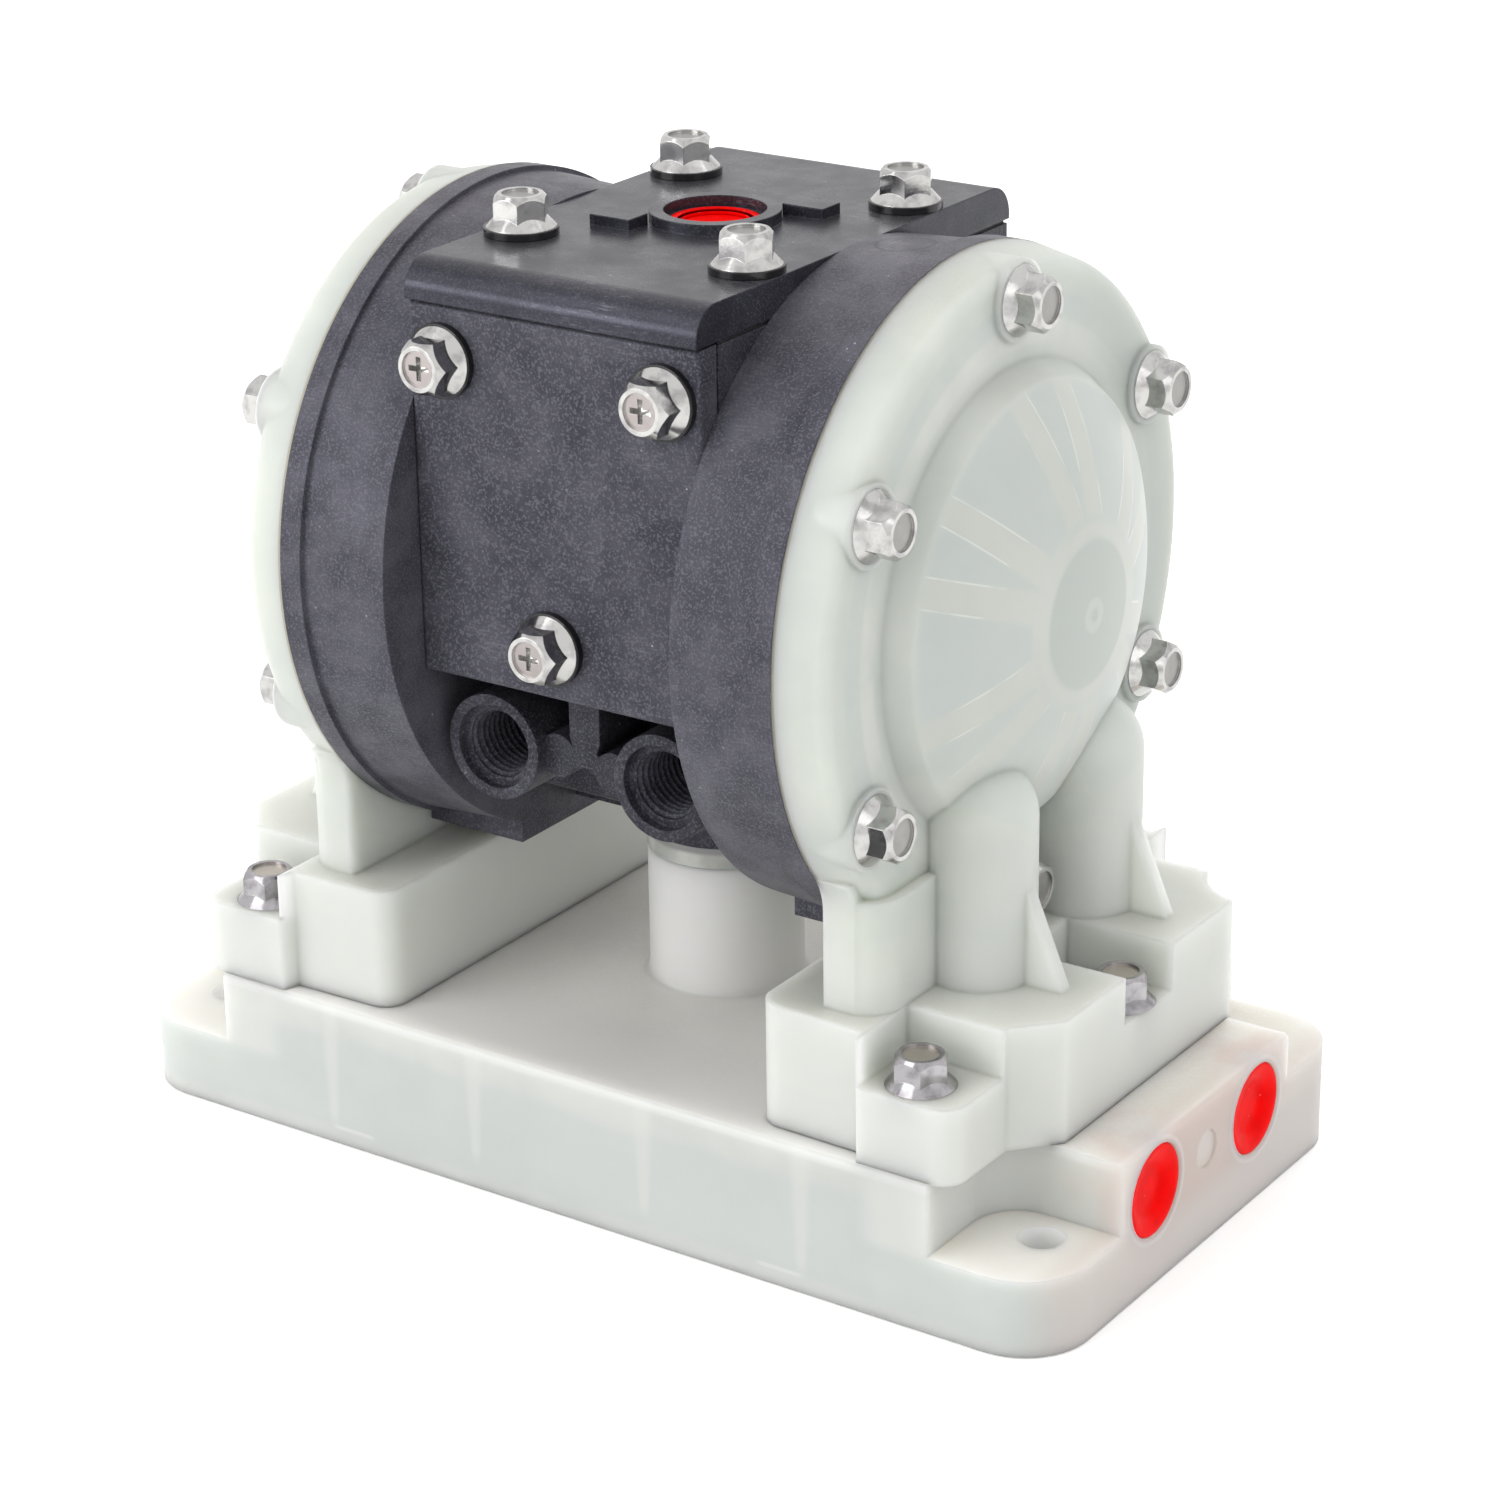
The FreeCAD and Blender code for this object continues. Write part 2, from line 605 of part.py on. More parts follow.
# corner recesses and mounting holes
for name, way, floor in (("front_recess", -1, s.mount_floor), ("back_recess", 1, s.mount_floor_back)):
    corner_recesses = []
    for side in SIDES:
        inner_x, outer_x = s.recess_start_x * side, (half_length + s.base_wall) * side
        inner_y, outer_y = s.recess_start_y * way, (half_width + s.base_wall) * way
        bend = -s.recess_corner if side * way > 0 else s.recess_corner
        corner_recesses.append([
            (inner_x, outer_y),
            (inner_x, inner_y + s.recess_corner * way, -bend),
            (inner_x + s.recess_corner * side, inner_y),
            (outer_x, inner_y),
            (outer_x, outer_y),
        ])
    cutout(base, name, "XY_Plane", corner_recesses, s.base_height - floor + s.base_edge,
           lift=s.base_height + s.base_edge)
mount_places = [(s.mount_x * side, s.mount_y * way) for side in SIDES for way in SIDES]
bores(base, "mounting_holes", "XY_Plane", mount_places, s.mount_bore, s.base_height, backwards=True)

# centre post, open to the coring so that spent air leaves under the base
bosses(base, "post", "XY_Plane", [(0, 0)], s.post_radius, s.post_top - deck_underside, lift=deck_underside)
round_edges(base, "post_foot_round", s.post_foot,
            lambda edge: lies_at(edge, x=0, y=0, z=s.base_height.value)
            and abs(edge.BoundBox.XLength - 2 * s.post_radius.value) < 0.01)
bores(base, "post_bore_cut", "XY_Plane", [(0, 0)], s.post_bore, s.post_top - s.base_height, lift=s.post_top)
bores(base, "post_outlet", "XY_Plane", [(0, 0)], s.silencer_ledge, s.base_height, lift=s.base_height)

# fluid channels from the right end
channel_far = half_length + s.column_x + s.column_radius
for name, y in (("suction", suction_y), ("discharge", discharge_y)):
    centre = [(y, s.channel_height)]
    bores(base, f"{name}_channel", "YZ_Plane", centre, s.channel_bore, channel_far, lift=half_length)
    bores(base, f"{name}_tapping", "YZ_Plane", centre, s.pipe_bore, s.pipe_depth, lift=half_length)
    bores(base, f"{name}_mouth", "YZ_Plane", centre, s.channel_mouth, s.port_relief, lift=half_length)
bores(base, "gate_mark_cut", "YZ_Plane", [(0, s.channel_height)], s.gate_mark, s.gate_depth, lift=half_length)

# valve pockets, seal grooves and base bolt holes in the top face
suction_places = [(s.column_x * side, suction_y) for side in SIDES]
discharge_places = [(s.column_x * side, discharge_y) for side in SIDES]
bores(base, "suction_pockets", "XY_Plane", suction_places, s.suction_seat_radius + s.fit_gap,
      s.pocket_ledge, lift=s.base_height)
bores(base, "discharge_pockets", "XY_Plane", discharge_places, s.cage_radius + s.valve_gap,
      s.pocket_ledge, lift=s.base_height)
bores(base, "valve_drops", "XY_Plane", COLUMN_PLACES, s.drop_bore,
      s.base_height - s.channel_height, lift=s.base_height)
groove = new_sketch(base, "seal_groove_sketch", "XY_Plane", s.base_height)
draw_circles(groove, COLUMN_PLACES, s.seal_circle - s.seal_cord - s.valve_gap)
draw_circles(groove, COLUMN_PLACES, s.seal_circle + s.seal_cord + s.valve_gap)
extrude(base, "Pocket", groove, "seal_grooves", (s.seal_cord + s.valve_gap) * 2, False)
base_bolt_places = []
for side in SIDES:
    base_bolt_places.append((s.middle_bolt_x * side, as_length(0), s.ledge_floor))
    base_bolt_places.append((s.side_bolt_x * side, -s.side_bolt_y, s.ledge_floor))
    base_bolt_places.append((s.side_bolt_x * side, s.side_bolt_y, s.back_ledge_floor))
for name, seat in (("base_bolt_holes", s.ledge_floor), ("back_bolt_holes", s.back_ledge_floor)):
    bores(base, name, "XY_Plane", [(x, y) for x, y, level in base_bolt_places if level is seat],
          s.bolt_hole, s.base_bolt_length + s.base_height - seat + 1, lift=s.base_height)


# Ring between post and centre body: clear soft plastic that takes up the last of the height.

ring = keep("post_ring", new_body("post_ring", z=s.post_top))
bosses(ring, "ring_outside", "XY_Plane", [(0, 0)], s.post_radius, s.neck_bottom - s.post_top)
bores(ring, "ring_inside", "XY_Plane", [(0, 0)], s.post_bore, s.neck_bottom - s.post_top, backwards=True)

# Silencer: a plug of porous plastic inside the post.

silencer = keep("exhaust_silencer", new_body("exhaust_silencer", z=s.base_height))
bosses(silencer, "silencer_block", "XY_Plane", [(0, 0)], s.post_bore - s.valve_gap,
       s.post_top - s.base_height - s.valve_gap)
bores(silencer, "silencer_core", "XY_Plane", [(0, 0)], s.post_bore / 2,
      (s.post_top - s.base_height) * 0.7, lift=s.post_top - s.base_height - s.valve_gap)


# Air chamber: a ring of black glass filled polypropylene with the bowl on the air side.

def bolt_places(radius):
    """Six places on the bolt circle, the first straight up."""
    return [turned_by(radius, degrees) for degrees in range(30, 390, 60)]


air = keep("air_chamber_right", new_body("air_chamber_right", z=s.shaft_height))
lip_start = s.joint_plane - s.air_lip_width
rim_root = s.rim_radius + s.rim_draft
air_side = rim_root - s.air_lip_step
groove_floor = s.joint_plane - s.bead_half
turned(air, "air_ring", "XZ_Plane", [
    (s.body_half, s.shaft_radius + s.fit_gap * 10),
    (s.body_half, air_side - s.air_draft),
    (lip_start, air_side),
    (lip_start, rim_root),
    (s.joint_plane, rim_root),
    (s.joint_plane, s.bead_outer),
    (groove_floor, s.bead_outer),
    (groove_floor, s.bead_inner),
    (groove_floor - s.air_floor, s.bead_inner - 2),
    (s.body_half + s.air_floor + 2, s.air_bowl_bend),
    (s.body_half + s.air_floor, s.air_bowl_floor),
    (s.body_half + s.air_floor, s.shaft_radius + s.fit_gap * 10),
], "H_Axis")
tab_drop = s.tab_bottom - s.shaft_height
slab(air, "foot_tab", "YZ_Plane",
     [rectangle(-s.tab_half, s.tab_half, tab_drop, -s.bead_outer - s.bead_half)],
     s.joint_plane - s.body_half, lift=s.body_half)
cutout(air, "tab_flat", "YZ_Plane",
       [rectangle(-rim_root, rim_root, -rim_root * 1.2, tab_drop)],
       s.joint_plane - s.body_half, lift=s.joint_plane)
bores(air, "chamber_bolt_holes", "YZ_Plane", bolt_places(s.bolt_circle), s.bolt_hole,
      s.chamber_bolt_length - (s.bolt_seat - s.joint_plane) + 1, lift=s.joint_plane)
keep("air_chamber_left", mirrored("air_chamber_left", air))


# Outer chamber: one natural polypropylene moulding with rim, crown, valve columns and foot.

outer = keep("outer_chamber_right", new_body("outer_chamber_right", z=s.shaft_height))


def crown_x(radius):
    """How far the crown's curve stands out at a radius."""
    fall = s.crown_sphere - (s.crown_sphere * s.crown_sphere - radius * radius).root()
    return s.crown_top - fall


cavity_sphere = s.crown_sphere - s.chamber_wall
cavity_rim = s.crown_radius - s.chamber_wall
cavity_top = s.crown_top - s.chamber_wall
cavity_shoulder = cavity_top - (cavity_sphere - (cavity_sphere * cavity_sphere - cavity_rim * cavity_rim).root())
bead_floor = s.joint_plane + s.bead_half
turned(outer, "chamber_block", "XZ_Plane", [
    (s.joint_plane, 0),
    (s.joint_plane, rim_root),
    (s.rim_face, s.rim_radius),
    (s.rim_face, s.crown_radius + 2.5),
    (crown_x(s.crown_radius), s.crown_radius, -s.crown_sphere),
    (s.crown_top, 0),
], "H_Axis")
round_edges(outer, "rim_round", s.rim_edge,
            lambda edge: lies_at(edge, x=s.rim_face.value, y=0, z=0)
            and edge.BoundBox.YLength > 2 * s.rim_radius.value - 1)
bosses(outer, "bolt_ears", "YZ_Plane", bolt_places(s.bolt_circle), s.ear_radius,
       s.bolt_seat - bead_floor, lift=bead_floor)
foot_drop = s.foot_top - s.shaft_height
base_drop = s.base_height - s.shaft_height
blend_y = s.apron_half + s.apron_blend
blend_reach = rim_root + s.apron_blend
blend_drop = (blend_reach * blend_reach - blend_y * blend_y).root()
blend_share = rim_root / blend_reach
slab(outer, "apron", "YZ_Plane", [[
    (-s.apron_half, foot_drop - 1),
    (s.apron_half, foot_drop - 1),
    (s.apron_half, -blend_drop, -s.apron_blend),
    (blend_y * blend_share, -(blend_drop * blend_share)),
    (-(blend_y * blend_share), -(blend_drop * blend_share), -s.apron_blend),
    (-s.apron_half, -blend_drop),
]], s.apron_face - s.joint_plane, lift=s.joint_plane)
front_leg = [
    (s.joint_plane, suction_y),
    (s.joint_plane, -s.apron_half),
    (s.leg_face - s.leg_round, -s.apron_half, s.leg_round),
    (s.leg_face, -(s.apron_half - s.leg_round)),
    (s.leg_face, suction_y),
]
back_leg = [
    (s.joint_plane, discharge_y),
    (s.leg_face, discharge_y),
    (s.leg_face, s.apron_half - s.leg_round, s.leg_round),
    (s.leg_face - s.leg_round, s.apron_half),
    (s.joint_plane, s.apron_half),
]
slab(outer, "legs", "XY_Plane", [front_leg, back_leg], s.leg_top - s.foot_top + 1, lift=foot_drop - 1)

# foot block with three bolt ledges
foot_front_half = [
    (s.foot_inner, -s.foot_waist + s.ledge_corner, s.ledge_corner),
    (s.foot_inner + s.ledge_corner, -s.foot_waist),
    (s.ledge_start - 1, -s.foot_waist - 0.4),
    (s.ledge_start, -s.foot_front),
    (s.ledge_end - s.ledge_corner, -s.foot_front, s.ledge_corner),
    (s.ledge_end, -s.foot_front + s.ledge_corner),
    (s.ledge_end, -s.ledge_back + 1),
    (s.foot_outer, -s.foot_shoulder),
]
foot_back_half = [
    (s.foot_outer, s.foot_shoulder + 2, -s.shoulder_bend),
    (s.back_ledge_end + 1, s.back_ledge_wall),
    (s.back_ledge_end, s.back_ledge_wall + 1),
    (s.back_ledge_end, s.foot_front - s.ledge_corner, s.ledge_corner),
    (s.back_ledge_end - s.ledge_corner, s.foot_front),
    (s.ledge_start, s.foot_front),
    (s.ledge_start - 1, s.foot_waist + 0.4),
    (s.foot_inner + s.ledge_corner, s.foot_waist, s.ledge_corner),
    (s.foot_inner, s.foot_waist - s.ledge_corner),
]
slab(outer, "foot_block", "XY_Plane", [foot_front_half + foot_back_half], s.foot_top - s.base_height, lift=base_drop)
column_points = [(s.column_x, s.channel_offset * way) for way in SIDES]
bosses(outer, "columns", "XY_Plane", column_points, s.column_radius,
       s.column_top - s.foot_top + 1, lift=foot_drop - 1)
for name, way in (("front", -1), ("back", 1)):
    cap = outer.newObject("PartDesign::AdditiveSphere", f"{name}_column_cap")
    bind(cap, "Radius", s.column_radius)
    bind(cap, "AttachmentOffset.Base.x", s.column_x)
    bind(cap, "AttachmentOffset.Base.y", s.channel_offset * way)
    bind(cap, "AttachmentOffset.Base.z", s.column_top - s.shaft_height)
    cap.AttachmentSupport = [(next(i for i in outer.Origin.OriginFeatures if i.Role == "XY_Plane"), "")]
    cap.MapMode = "FlatFace"
    outer.Tip = cap
    slab(outer, f"{name}_gusset", "XZ_Plane", [[
        (s.column_x, foot_drop - 1),
        (s.gusset_foot, foot_drop - 1),
        (s.gusset_foot, foot_drop),
        (s.column_x + s.column_radius - 1.5, s.gusset_head - s.shaft_height),
        (s.column_x, s.gusset_head - s.shaft_height),
    ]], s.gusset_width, lift=s.gusset_width / -2 - s.channel_offset * way)

# fluid side
turned(outer, "fluid_side", "XZ_Plane", [
    (s.joint_plane, 0),
    (s.joint_plane, s.bead_outer),
    (bead_floor, s.bead_outer),
    (bead_floor, s.bead_inner),
    (bead_floor + 1.5, s.bead_inner - 1),
    (cavity_shoulder, cavity_rim, -cavity_sphere),
    (cavity_top, 0),
], "H_Axis", kind="Groove")

# ledges, bolt holes and valve bores
ledges = [
    rectangle(s.ledge_start, s.ledge_end + 2, -s.foot_front - 2, -s.ledge_back),
    rectangle(s.notch_start, s.foot_outer + 2, -s.notch_half, s.notch_half),
]
cutout(outer, "ledge_cuts", "XY_Plane", ledges, s.foot_top - s.ledge_floor, lift=foot_drop)
cutout(outer, "back_ledge_cut", "XY_Plane",
       [rectangle(s.ledge_start, s.back_ledge_end + 1, s.back_ledge_wall, s.foot_front + 2)],
       s.foot_top - s.back_ledge_floor, lift=foot_drop)
right_base_bolts = [(x, y) for x, y, level in base_bolt_places if x.value > 0]
bores(outer, "foot_bolt_holes", "XY_Plane", right_base_bolts, s.bolt_hole,
      s.foot_top - s.base_height, lift=foot_drop)
bores(outer, "chamber_bolt_holes_outer", "YZ_Plane", bolt_places(s.bolt_circle), s.bolt_hole,
      s.bolt_seat - s.joint_plane, lift=s.bolt_seat)
bores(outer, "column_bores", "XY_Plane", column_points, s.column_bore,
      s.column_top - s.base_height, lift=base_drop, backwards=True)
bores(outer, "suction_cage_bore", "XY_Plane", [(s.column_x, suction_y)], s.cage_radius + s.valve_gap,
      s.suction_cage_top - s.base_height + s.valve_gap, lift=base_drop, backwards=True)
bores(outer, "discharge_cage_bore", "XY_Plane", [(s.column_x, discharge_y)], s.cage_radius + s.valve_gap,
      s.discharge_seat_top - s.base_height + s.valve_gap, lift=base_drop, backwards=True)
crossing_drop = s.column_top - s.shaft_height
bores(outer, "chamber_crossings", "YZ_Plane", [(s.channel_offset * way, crossing_drop) for way in SIDES],
      s.crossing_bore, s.column_x - s.joint_plane, lift=s.column_x)
keep("outer_chamber_left", mirrored("outer_chamber_left", outer))


# Ball valves: suction below its seat's ball, discharge with a spring under the ball.

ball_rise = (s.ball_radius * s.ball_radius - s.seat_bore * s.seat_bore).root() + s.valve_gap
suction_seat_bottom = s.base_height - s.pocket_ledge
suction_edge = suction_seat_bottom + s.seat_height - s.seat_chamfer
discharge_edge = s.discharge_seat_top - s.seat_height + s.seat_chamfer
spring_foot = suction_seat_bottom + s.cage_bar


def ball(name, y, z):
    solid = document.addObject("Part::Sphere", name)
    solid.Label = name
    bind(solid, "Radius", s.ball_radius)
    put(solid, s.column_x, y, z)
    return solid


suction_seat = new_body("suction_seat_right", s.column_x, suction_y, suction_seat_bottom)
turned(suction_seat, "seat_ring", "XZ_Plane", [
    (s.seat_bore, 0),
    (s.suction_seat_radius, 0),
    (s.suction_seat_radius, s.seat_height),
    (s.seat_bore + s.seat_chamfer, s.seat_height),
    (s.seat_bore, s.seat_height - s.seat_chamfer),
], "V_Axis")
discharge_seat = new_body("discharge_seat_right", s.column_x, discharge_y, s.discharge_seat_top)
turned(discharge_seat, "seat_ring_up", "XZ_Plane", [
    (s.seat_bore, 0),
    (s.cage_radius, 0),
    (s.cage_radius, -s.seat_height),
    (s.seat_bore + s.seat_chamfer, -s.seat_height),
    (s.seat_bore, s.seat_chamfer - s.seat_height),
], "V_Axis")


def cage(name, y, low, high, bar_at_top):
    """A tube that guides the ball, with crossed bars at the end that stops it."""
    body = new_body(name, s.column_x, y, low)
    height = high - low
    bosses(body, f"{name}_tube", "XY_Plane", [(0, 0)], s.cage_radius, height)
    bores(body, f"{name}_room", "XY_Plane", [(0, 0)], s.cage_bore, height, backwards=True)
    bar_foot = height - s.cage_bar if bar_at_top else as_length(0)
    reach = s.cage_radius - s.valve_gap
    half_bar = s.cage_bar / 2
    slab(body, f"{name}_bar", "XY_Plane", [rectangle(-reach, reach, -half_bar, half_bar)],
         s.cage_bar, lift=bar_foot)
    slab(body, f"{name}_cross_bar", "XY_Plane", [rectangle(-half_bar, half_bar, -reach, reach)],
         s.cage_bar, lift=bar_foot)
    return body


suction_cage = cage("suction_cage_right", suction_y, s.base_height, s.suction_cage_top, True)
discharge_cage = cage("discharge_cage_right", discharge_y, suction_seat_bottom,
                      s.discharge_seat_top - s.seat_height, False)
suction_ball = ball("suction_ball_right", suction_y, suction_edge + ball_rise)
discharge_ball = ball("discharge_ball_right", discharge_y, discharge_edge - ball_rise)
spring = new_body("discharge_spring_right", s.column_x, discharge_y, spring_foot)
spring_height = discharge_edge - ball_rise - s.ball_radius - spring_foot + s.spring_wire
bosses(spring, "spring_outside", "XY_Plane", [(0, 0)], s.spring_radius, spring_height)
bores(spring, "spring_inside", "XY_Plane", [(0, 0)], s.spring_radius - s.spring_wire, spring_height,
      backwards=True)
for piece in (suction_seat, discharge_seat, suction_cage, discharge_cage, suction_ball, discharge_ball, spring):
    keep(piece.Label, piece)
    left_name = piece.Label.replace("right", "left")
    keep(left_name, mirrored(left_name, piece))

seal = document.addObject("Part::Torus", "manifold_seal")
bind(seal, "Radius1", s.seal_circle)
bind(seal, "Radius2", s.seal_cord)
seal_height = s.base_height - s.seal_cord - s.valve_gap
keep("manifold_seals", copies("manifold_seals", seal, [(x, y, seal_height, UPRIGHT) for x, y in COLUMN_PLACES]))


# Centre body: black moulding between the air chambers, with shaft bore, valve bore and front ports.

centre = keep("centre_body", new_body("centre_body"))
body_sides = (-s.body_half, s.body_half)
slab(centre, "upper_block", "YZ_Plane",
     [[(-s.body_front, s.body_shelf), (-s.body_front, s.body_top), (s.body_back, s.body_top),
       (s.body_back, s.body_low), (-s.recess_front, s.body_low), (-s.recess_front, s.body_shelf)]],
     s.body_half * 2, lift=-s.body_half)
round_edges(centre, "low_edges", s.cover_edge * 2,
            lambda edge: runs_along(edge, "x") and abs(edge.BoundBox.Center.z - s.body_low.value) < 0.01)
slab(centre, "neck", "XY_Plane",
     [rectangle(-s.body_half, s.body_half, -s.neck_front, s.neck_back)],
     s.body_low - s.neck_bottom + 1, lift=s.neck_bottom)
bosses(centre, "neck_boss", "XY_Plane", [(0, 0)], s.post_radius,
       s.body_low - s.neck_bottom + 1, lift=s.neck_bottom)
port_places = [(s.front_port_x * side, s.front_port_height) for side in SIDES]
bosses(centre, "port_bosses", "XZ_Plane", port_places, s.front_port_radius,
       s.front_port_face - s.recess_front + 1, lift=s.recess_front - 1)
half_web = s.web_width / 2
web_low = s.front_port_height - s.web_lobe + 1
slab(centre, "web", "XZ_Plane", [[
    (-half_web, s.body_shelf + 1),
    (-half_web, s.front_port_height + s.web_lobe),
    (-half_web * 0.75, s.front_port_height + s.web_lobe - 2),
    (-s.web_lobe_x, s.front_port_height + 1.5),
    (-s.web_lobe_x, web_low),
    (0, s.front_port_height - 1),
    (s.web_lobe_x, web_low - 1),
    (s.web_lobe_x, s.front_port_height + 1),
    (half_web * 0.75, s.front_port_height + s.web_lobe - 2),
    (half_web, s.front_port_height + s.web_lobe),
    (half_web, s.body_shelf + 1),
]], s.web_face - s.recess_front + 1, lift=s.recess_front - 1)
bosses(centre, "web_lobes", "XZ_Plane",
       [(-s.web_lobe_x, s.front_port_height), (s.web_lobe_x, s.front_port_height - 1)], s.web_lobe,
       s.web_face - s.recess_front + 1, lift=s.recess_front - 1)
bores(centre, "front_port_tapping", "XZ_Plane", port_places, s.pipe_bore, s.pipe_depth,
      lift=s.front_port_face)
bores(centre, "front_port_mouth", "XZ_Plane", port_places, s.port_mouth, s.port_relief,
      lift=s.front_port_face)

shaft_centre = [(0, s.shaft_height)]
spool_centre = [(0, s.spool_height)]
bores(centre, "shaft_bore", "YZ_Plane", shaft_centre, s.shaft_clearance_bore, s.body_half * 2, lift=s.body_half)
bores(centre, "bush_bore_right", "YZ_Plane", shaft_centre, s.bush_radius, s.bush_room, lift=s.body_half)
bores(centre, "bush_bore_left", "YZ_Plane", shaft_centre, s.bush_radius, s.bush_room,
      lift=-s.body_half, backwards=True)
bores(centre, "sleeve_bore_cut", "YZ_Plane", spool_centre, s.sleeve_bore, s.body_half * 2, lift=s.body_half)
bores(centre, "inlet_passage", "XY_Plane", [(0, 0)], s.inlet_bore, s.body_top - s.spool_height, lift=s.body_top)
bores(centre, "exhaust_passage", "XY_Plane", [(0, s.exhaust_offset)], s.exhaust_bore,
      s.spool_height - s.neck_bottom, lift=s.neck_bottom, backwards=True)
bores(centre, "exhaust_chamber", "XY_Plane", [(0, 0)], s.post_bore,
      (s.body_low - s.neck_bottom) * 0.6, lift=s.neck_bottom, backwards=True)

top_bolt_places = [(s.top_bolt_x * side, s.top_bolt_y * way) for side in SIDES for way in SIDES]
front_bolt_places = [(s.front_bolt_x * side, s.front_bolt_high) for side in SIDES]
front_bolt_places.append((s.front_bolt_low_x, s.front_bolt_low))
bores(centre, "top_bolt_holes", "XY_Plane", top_bolt_places, s.bolt_hole, s.cover_bolt_length, lift=s.body_top)
bores(centre, "front_bolt_holes", "XZ_Plane", front_bolt_places, s.bolt_hole, s.cover_bolt_length,
      lift=s.body_front)


# Covers and their gaskets.

top_gasket = keep("top_cover_gasket", new_body("top_cover_gasket", z=s.body_top))
gasket_half = s.body_half - s.gasket_inset
slab(top_gasket, "top_gasket_sheet", "XY_Plane",
     [rectangle(-gasket_half, gasket_half, s.gasket_inset - s.body_front, s.body_back - s.gasket_inset)],
     s.gasket)
bores(top_gasket, "top_gasket_holes", "XY_Plane", top_bolt_places, s.bolt_hole, s.gasket, lift=s.gasket)
bores(top_gasket, "top_gasket_inlet", "XY_Plane", [(0, 0)], s.inlet_bore, s.gasket, lift=s.gasket)

top_cover_bottom = s.body_top + s.gasket
top_cover_top = top_cover_bottom + s.top_cover_thickness
top_cover = keep("top_cover", new_body("top_cover", z=top_cover_bottom))
slab(top_cover, "top_plate", "XY_Plane",
     [rectangle(-s.body_half, s.body_half, -s.top_cover_half, s.top_cover_half)], s.top_cover_thickness)
round_edges(top_cover, "long_edges", s.top_cover_round,
            lambda edge: runs_along(edge, "x") and abs(edge.BoundBox.Center.z - s.top_cover_thickness.value) < 0.01)
bosses(top_cover, "inlet_boss_ring", "XY_Plane", [(0, 0)], s.inlet_boss,
       s.inlet_boss_height + 1, lift=s.top_cover_thickness - 1)
half_pad_length = s.pad_length / 2
half_pad_width = s.pad_width / 2
pads = [
    rectangle(s.pad_x * side - half_pad_length, s.pad_x * side + half_pad_length,
              s.pad_y * side - half_pad_width, s.pad_y * side + half_pad_width) for side in SIDES
]
slab(top_cover, "raised_pads", "XY_Plane", pads, s.pad_height + 1, lift=s.top_cover_thickness - 1)
bores(top_cover, "inlet_recess_cut", "XY_Plane", [(0, 0)], s.inlet_recess, s.inlet_recess_depth,
      lift=s.top_cover_thickness + s.inlet_boss_height)
bores(top_cover, "inlet_tapping", "XY_Plane", [(0, 0)], s.pipe_bore,
      s.top_cover_thickness + s.inlet_boss_height, lift=s.top_cover_thickness + s.inlet_boss_height)
bores(top_cover, "top_cover_holes", "XY_Plane", top_bolt_places, s.bolt_hole, s.top_cover_thickness,
      lift=s.top_cover_thickness)

front_cover_back = s.body_front + s.gasket
front_cover_face = front_cover_back + s.front_cover_thickness
front_gasket = keep("front_cover_gasket", new_body("front_cover_gasket", y=-s.body_front))
front_top = top_cover_bottom - s.gasket_inset
slab(front_gasket, "front_gasket_sheet", "XZ_Plane",
     [rectangle(-gasket_half, gasket_half, s.body_shelf + s.gasket_inset, s.body_top - s.gasket_inset)], s.gasket)
bores(front_gasket, "front_gasket_holes", "XZ_Plane", front_bolt_places, s.bolt_hole, s.gasket, lift=s.gasket)

front_cover = keep("front_cover", new_body("front_cover", y=-front_cover_back))
slab(front_cover, "front_plate", "XZ_Plane",
     [rectangle(-s.body_half, s.body_half, s.body_shelf, front_top)], s.front_cover_thickness)
round_edges(front_cover, "front_edges", s.cover_edge,
            lambda edge: abs(edge.BoundBox.Center.y + s.front_cover_thickness.value) < 0.01
            and edge.BoundBox.YLength < 0.01)
bores(front_cover, "front_cover_holes", "XZ_Plane", front_bolt_places, s.bolt_hole,
      s.front_cover_thickness, lift=s.front_cover_thickness)


# Bolts: plated steel, hexagon with flange, one pattern for each length.

def bolt(name, shank_length, crossed=False):
    """A flanged hexagon bolt that stands on the plane of its seat, shank down."""
    hexagon = document.addObject("Part::Prism", f"{name}_hexagon")
    hexagon.Polygon = 6
    bind(hexagon, "Circumradius", s.bolt_flats / as_length(3).root())
    bind(hexagon, "Height", s.bolt_head)
    dome = document.addObject("Part::Cone", f"{name}_dome")
    bind(dome, "Radius1", s.bolt_flats)
    bind(dome, "Radius2", s.bolt_flats / 2 - s.bolt_dish_depth)
    bind(dome, "Height", s.bolt_head)
    head = document.addObject("Part::Common", f"{name}_head")
    head.Base = hexagon
    head.Tool = dome
    flange = document.addObject("Part::Cone", f"{name}_flange")
    bind(flange, "Radius1", s.bolt_flange)
    bind(flange, "Radius2", s.bolt_flats / 2)
    bind(flange, "Height", s.bolt_flange_height)
    shank = cylinder(f"{name}_shank", s.bolt_shank, shank_length, z=-as_length(shank_length))
    solid = fuse(f"{name}_solid", [head, flange, shank])
    tools = [cylinder(f"{name}_dish", s.bolt_dish, s.bolt_head, z=s.bolt_head - s.bolt_dish_depth)]
    if crossed:
        low = s.bolt_head - s.bolt_dish_depth - s.cross_depth
        tools.append(block(f"{name}_slot", s.cross_length, s.cross_slot, s.bolt_head,
                           s.cross_length / -2, s.cross_slot / -2, low))
        tools.append(block(f"{name}_cross", s.cross_slot, s.cross_length, s.bolt_head,
                           s.cross_slot / -2, s.cross_length / -2, low))
        return cut(name, solid, fuse(f"{name}_recess", tools))
    return cut(name, solid, tools[0])


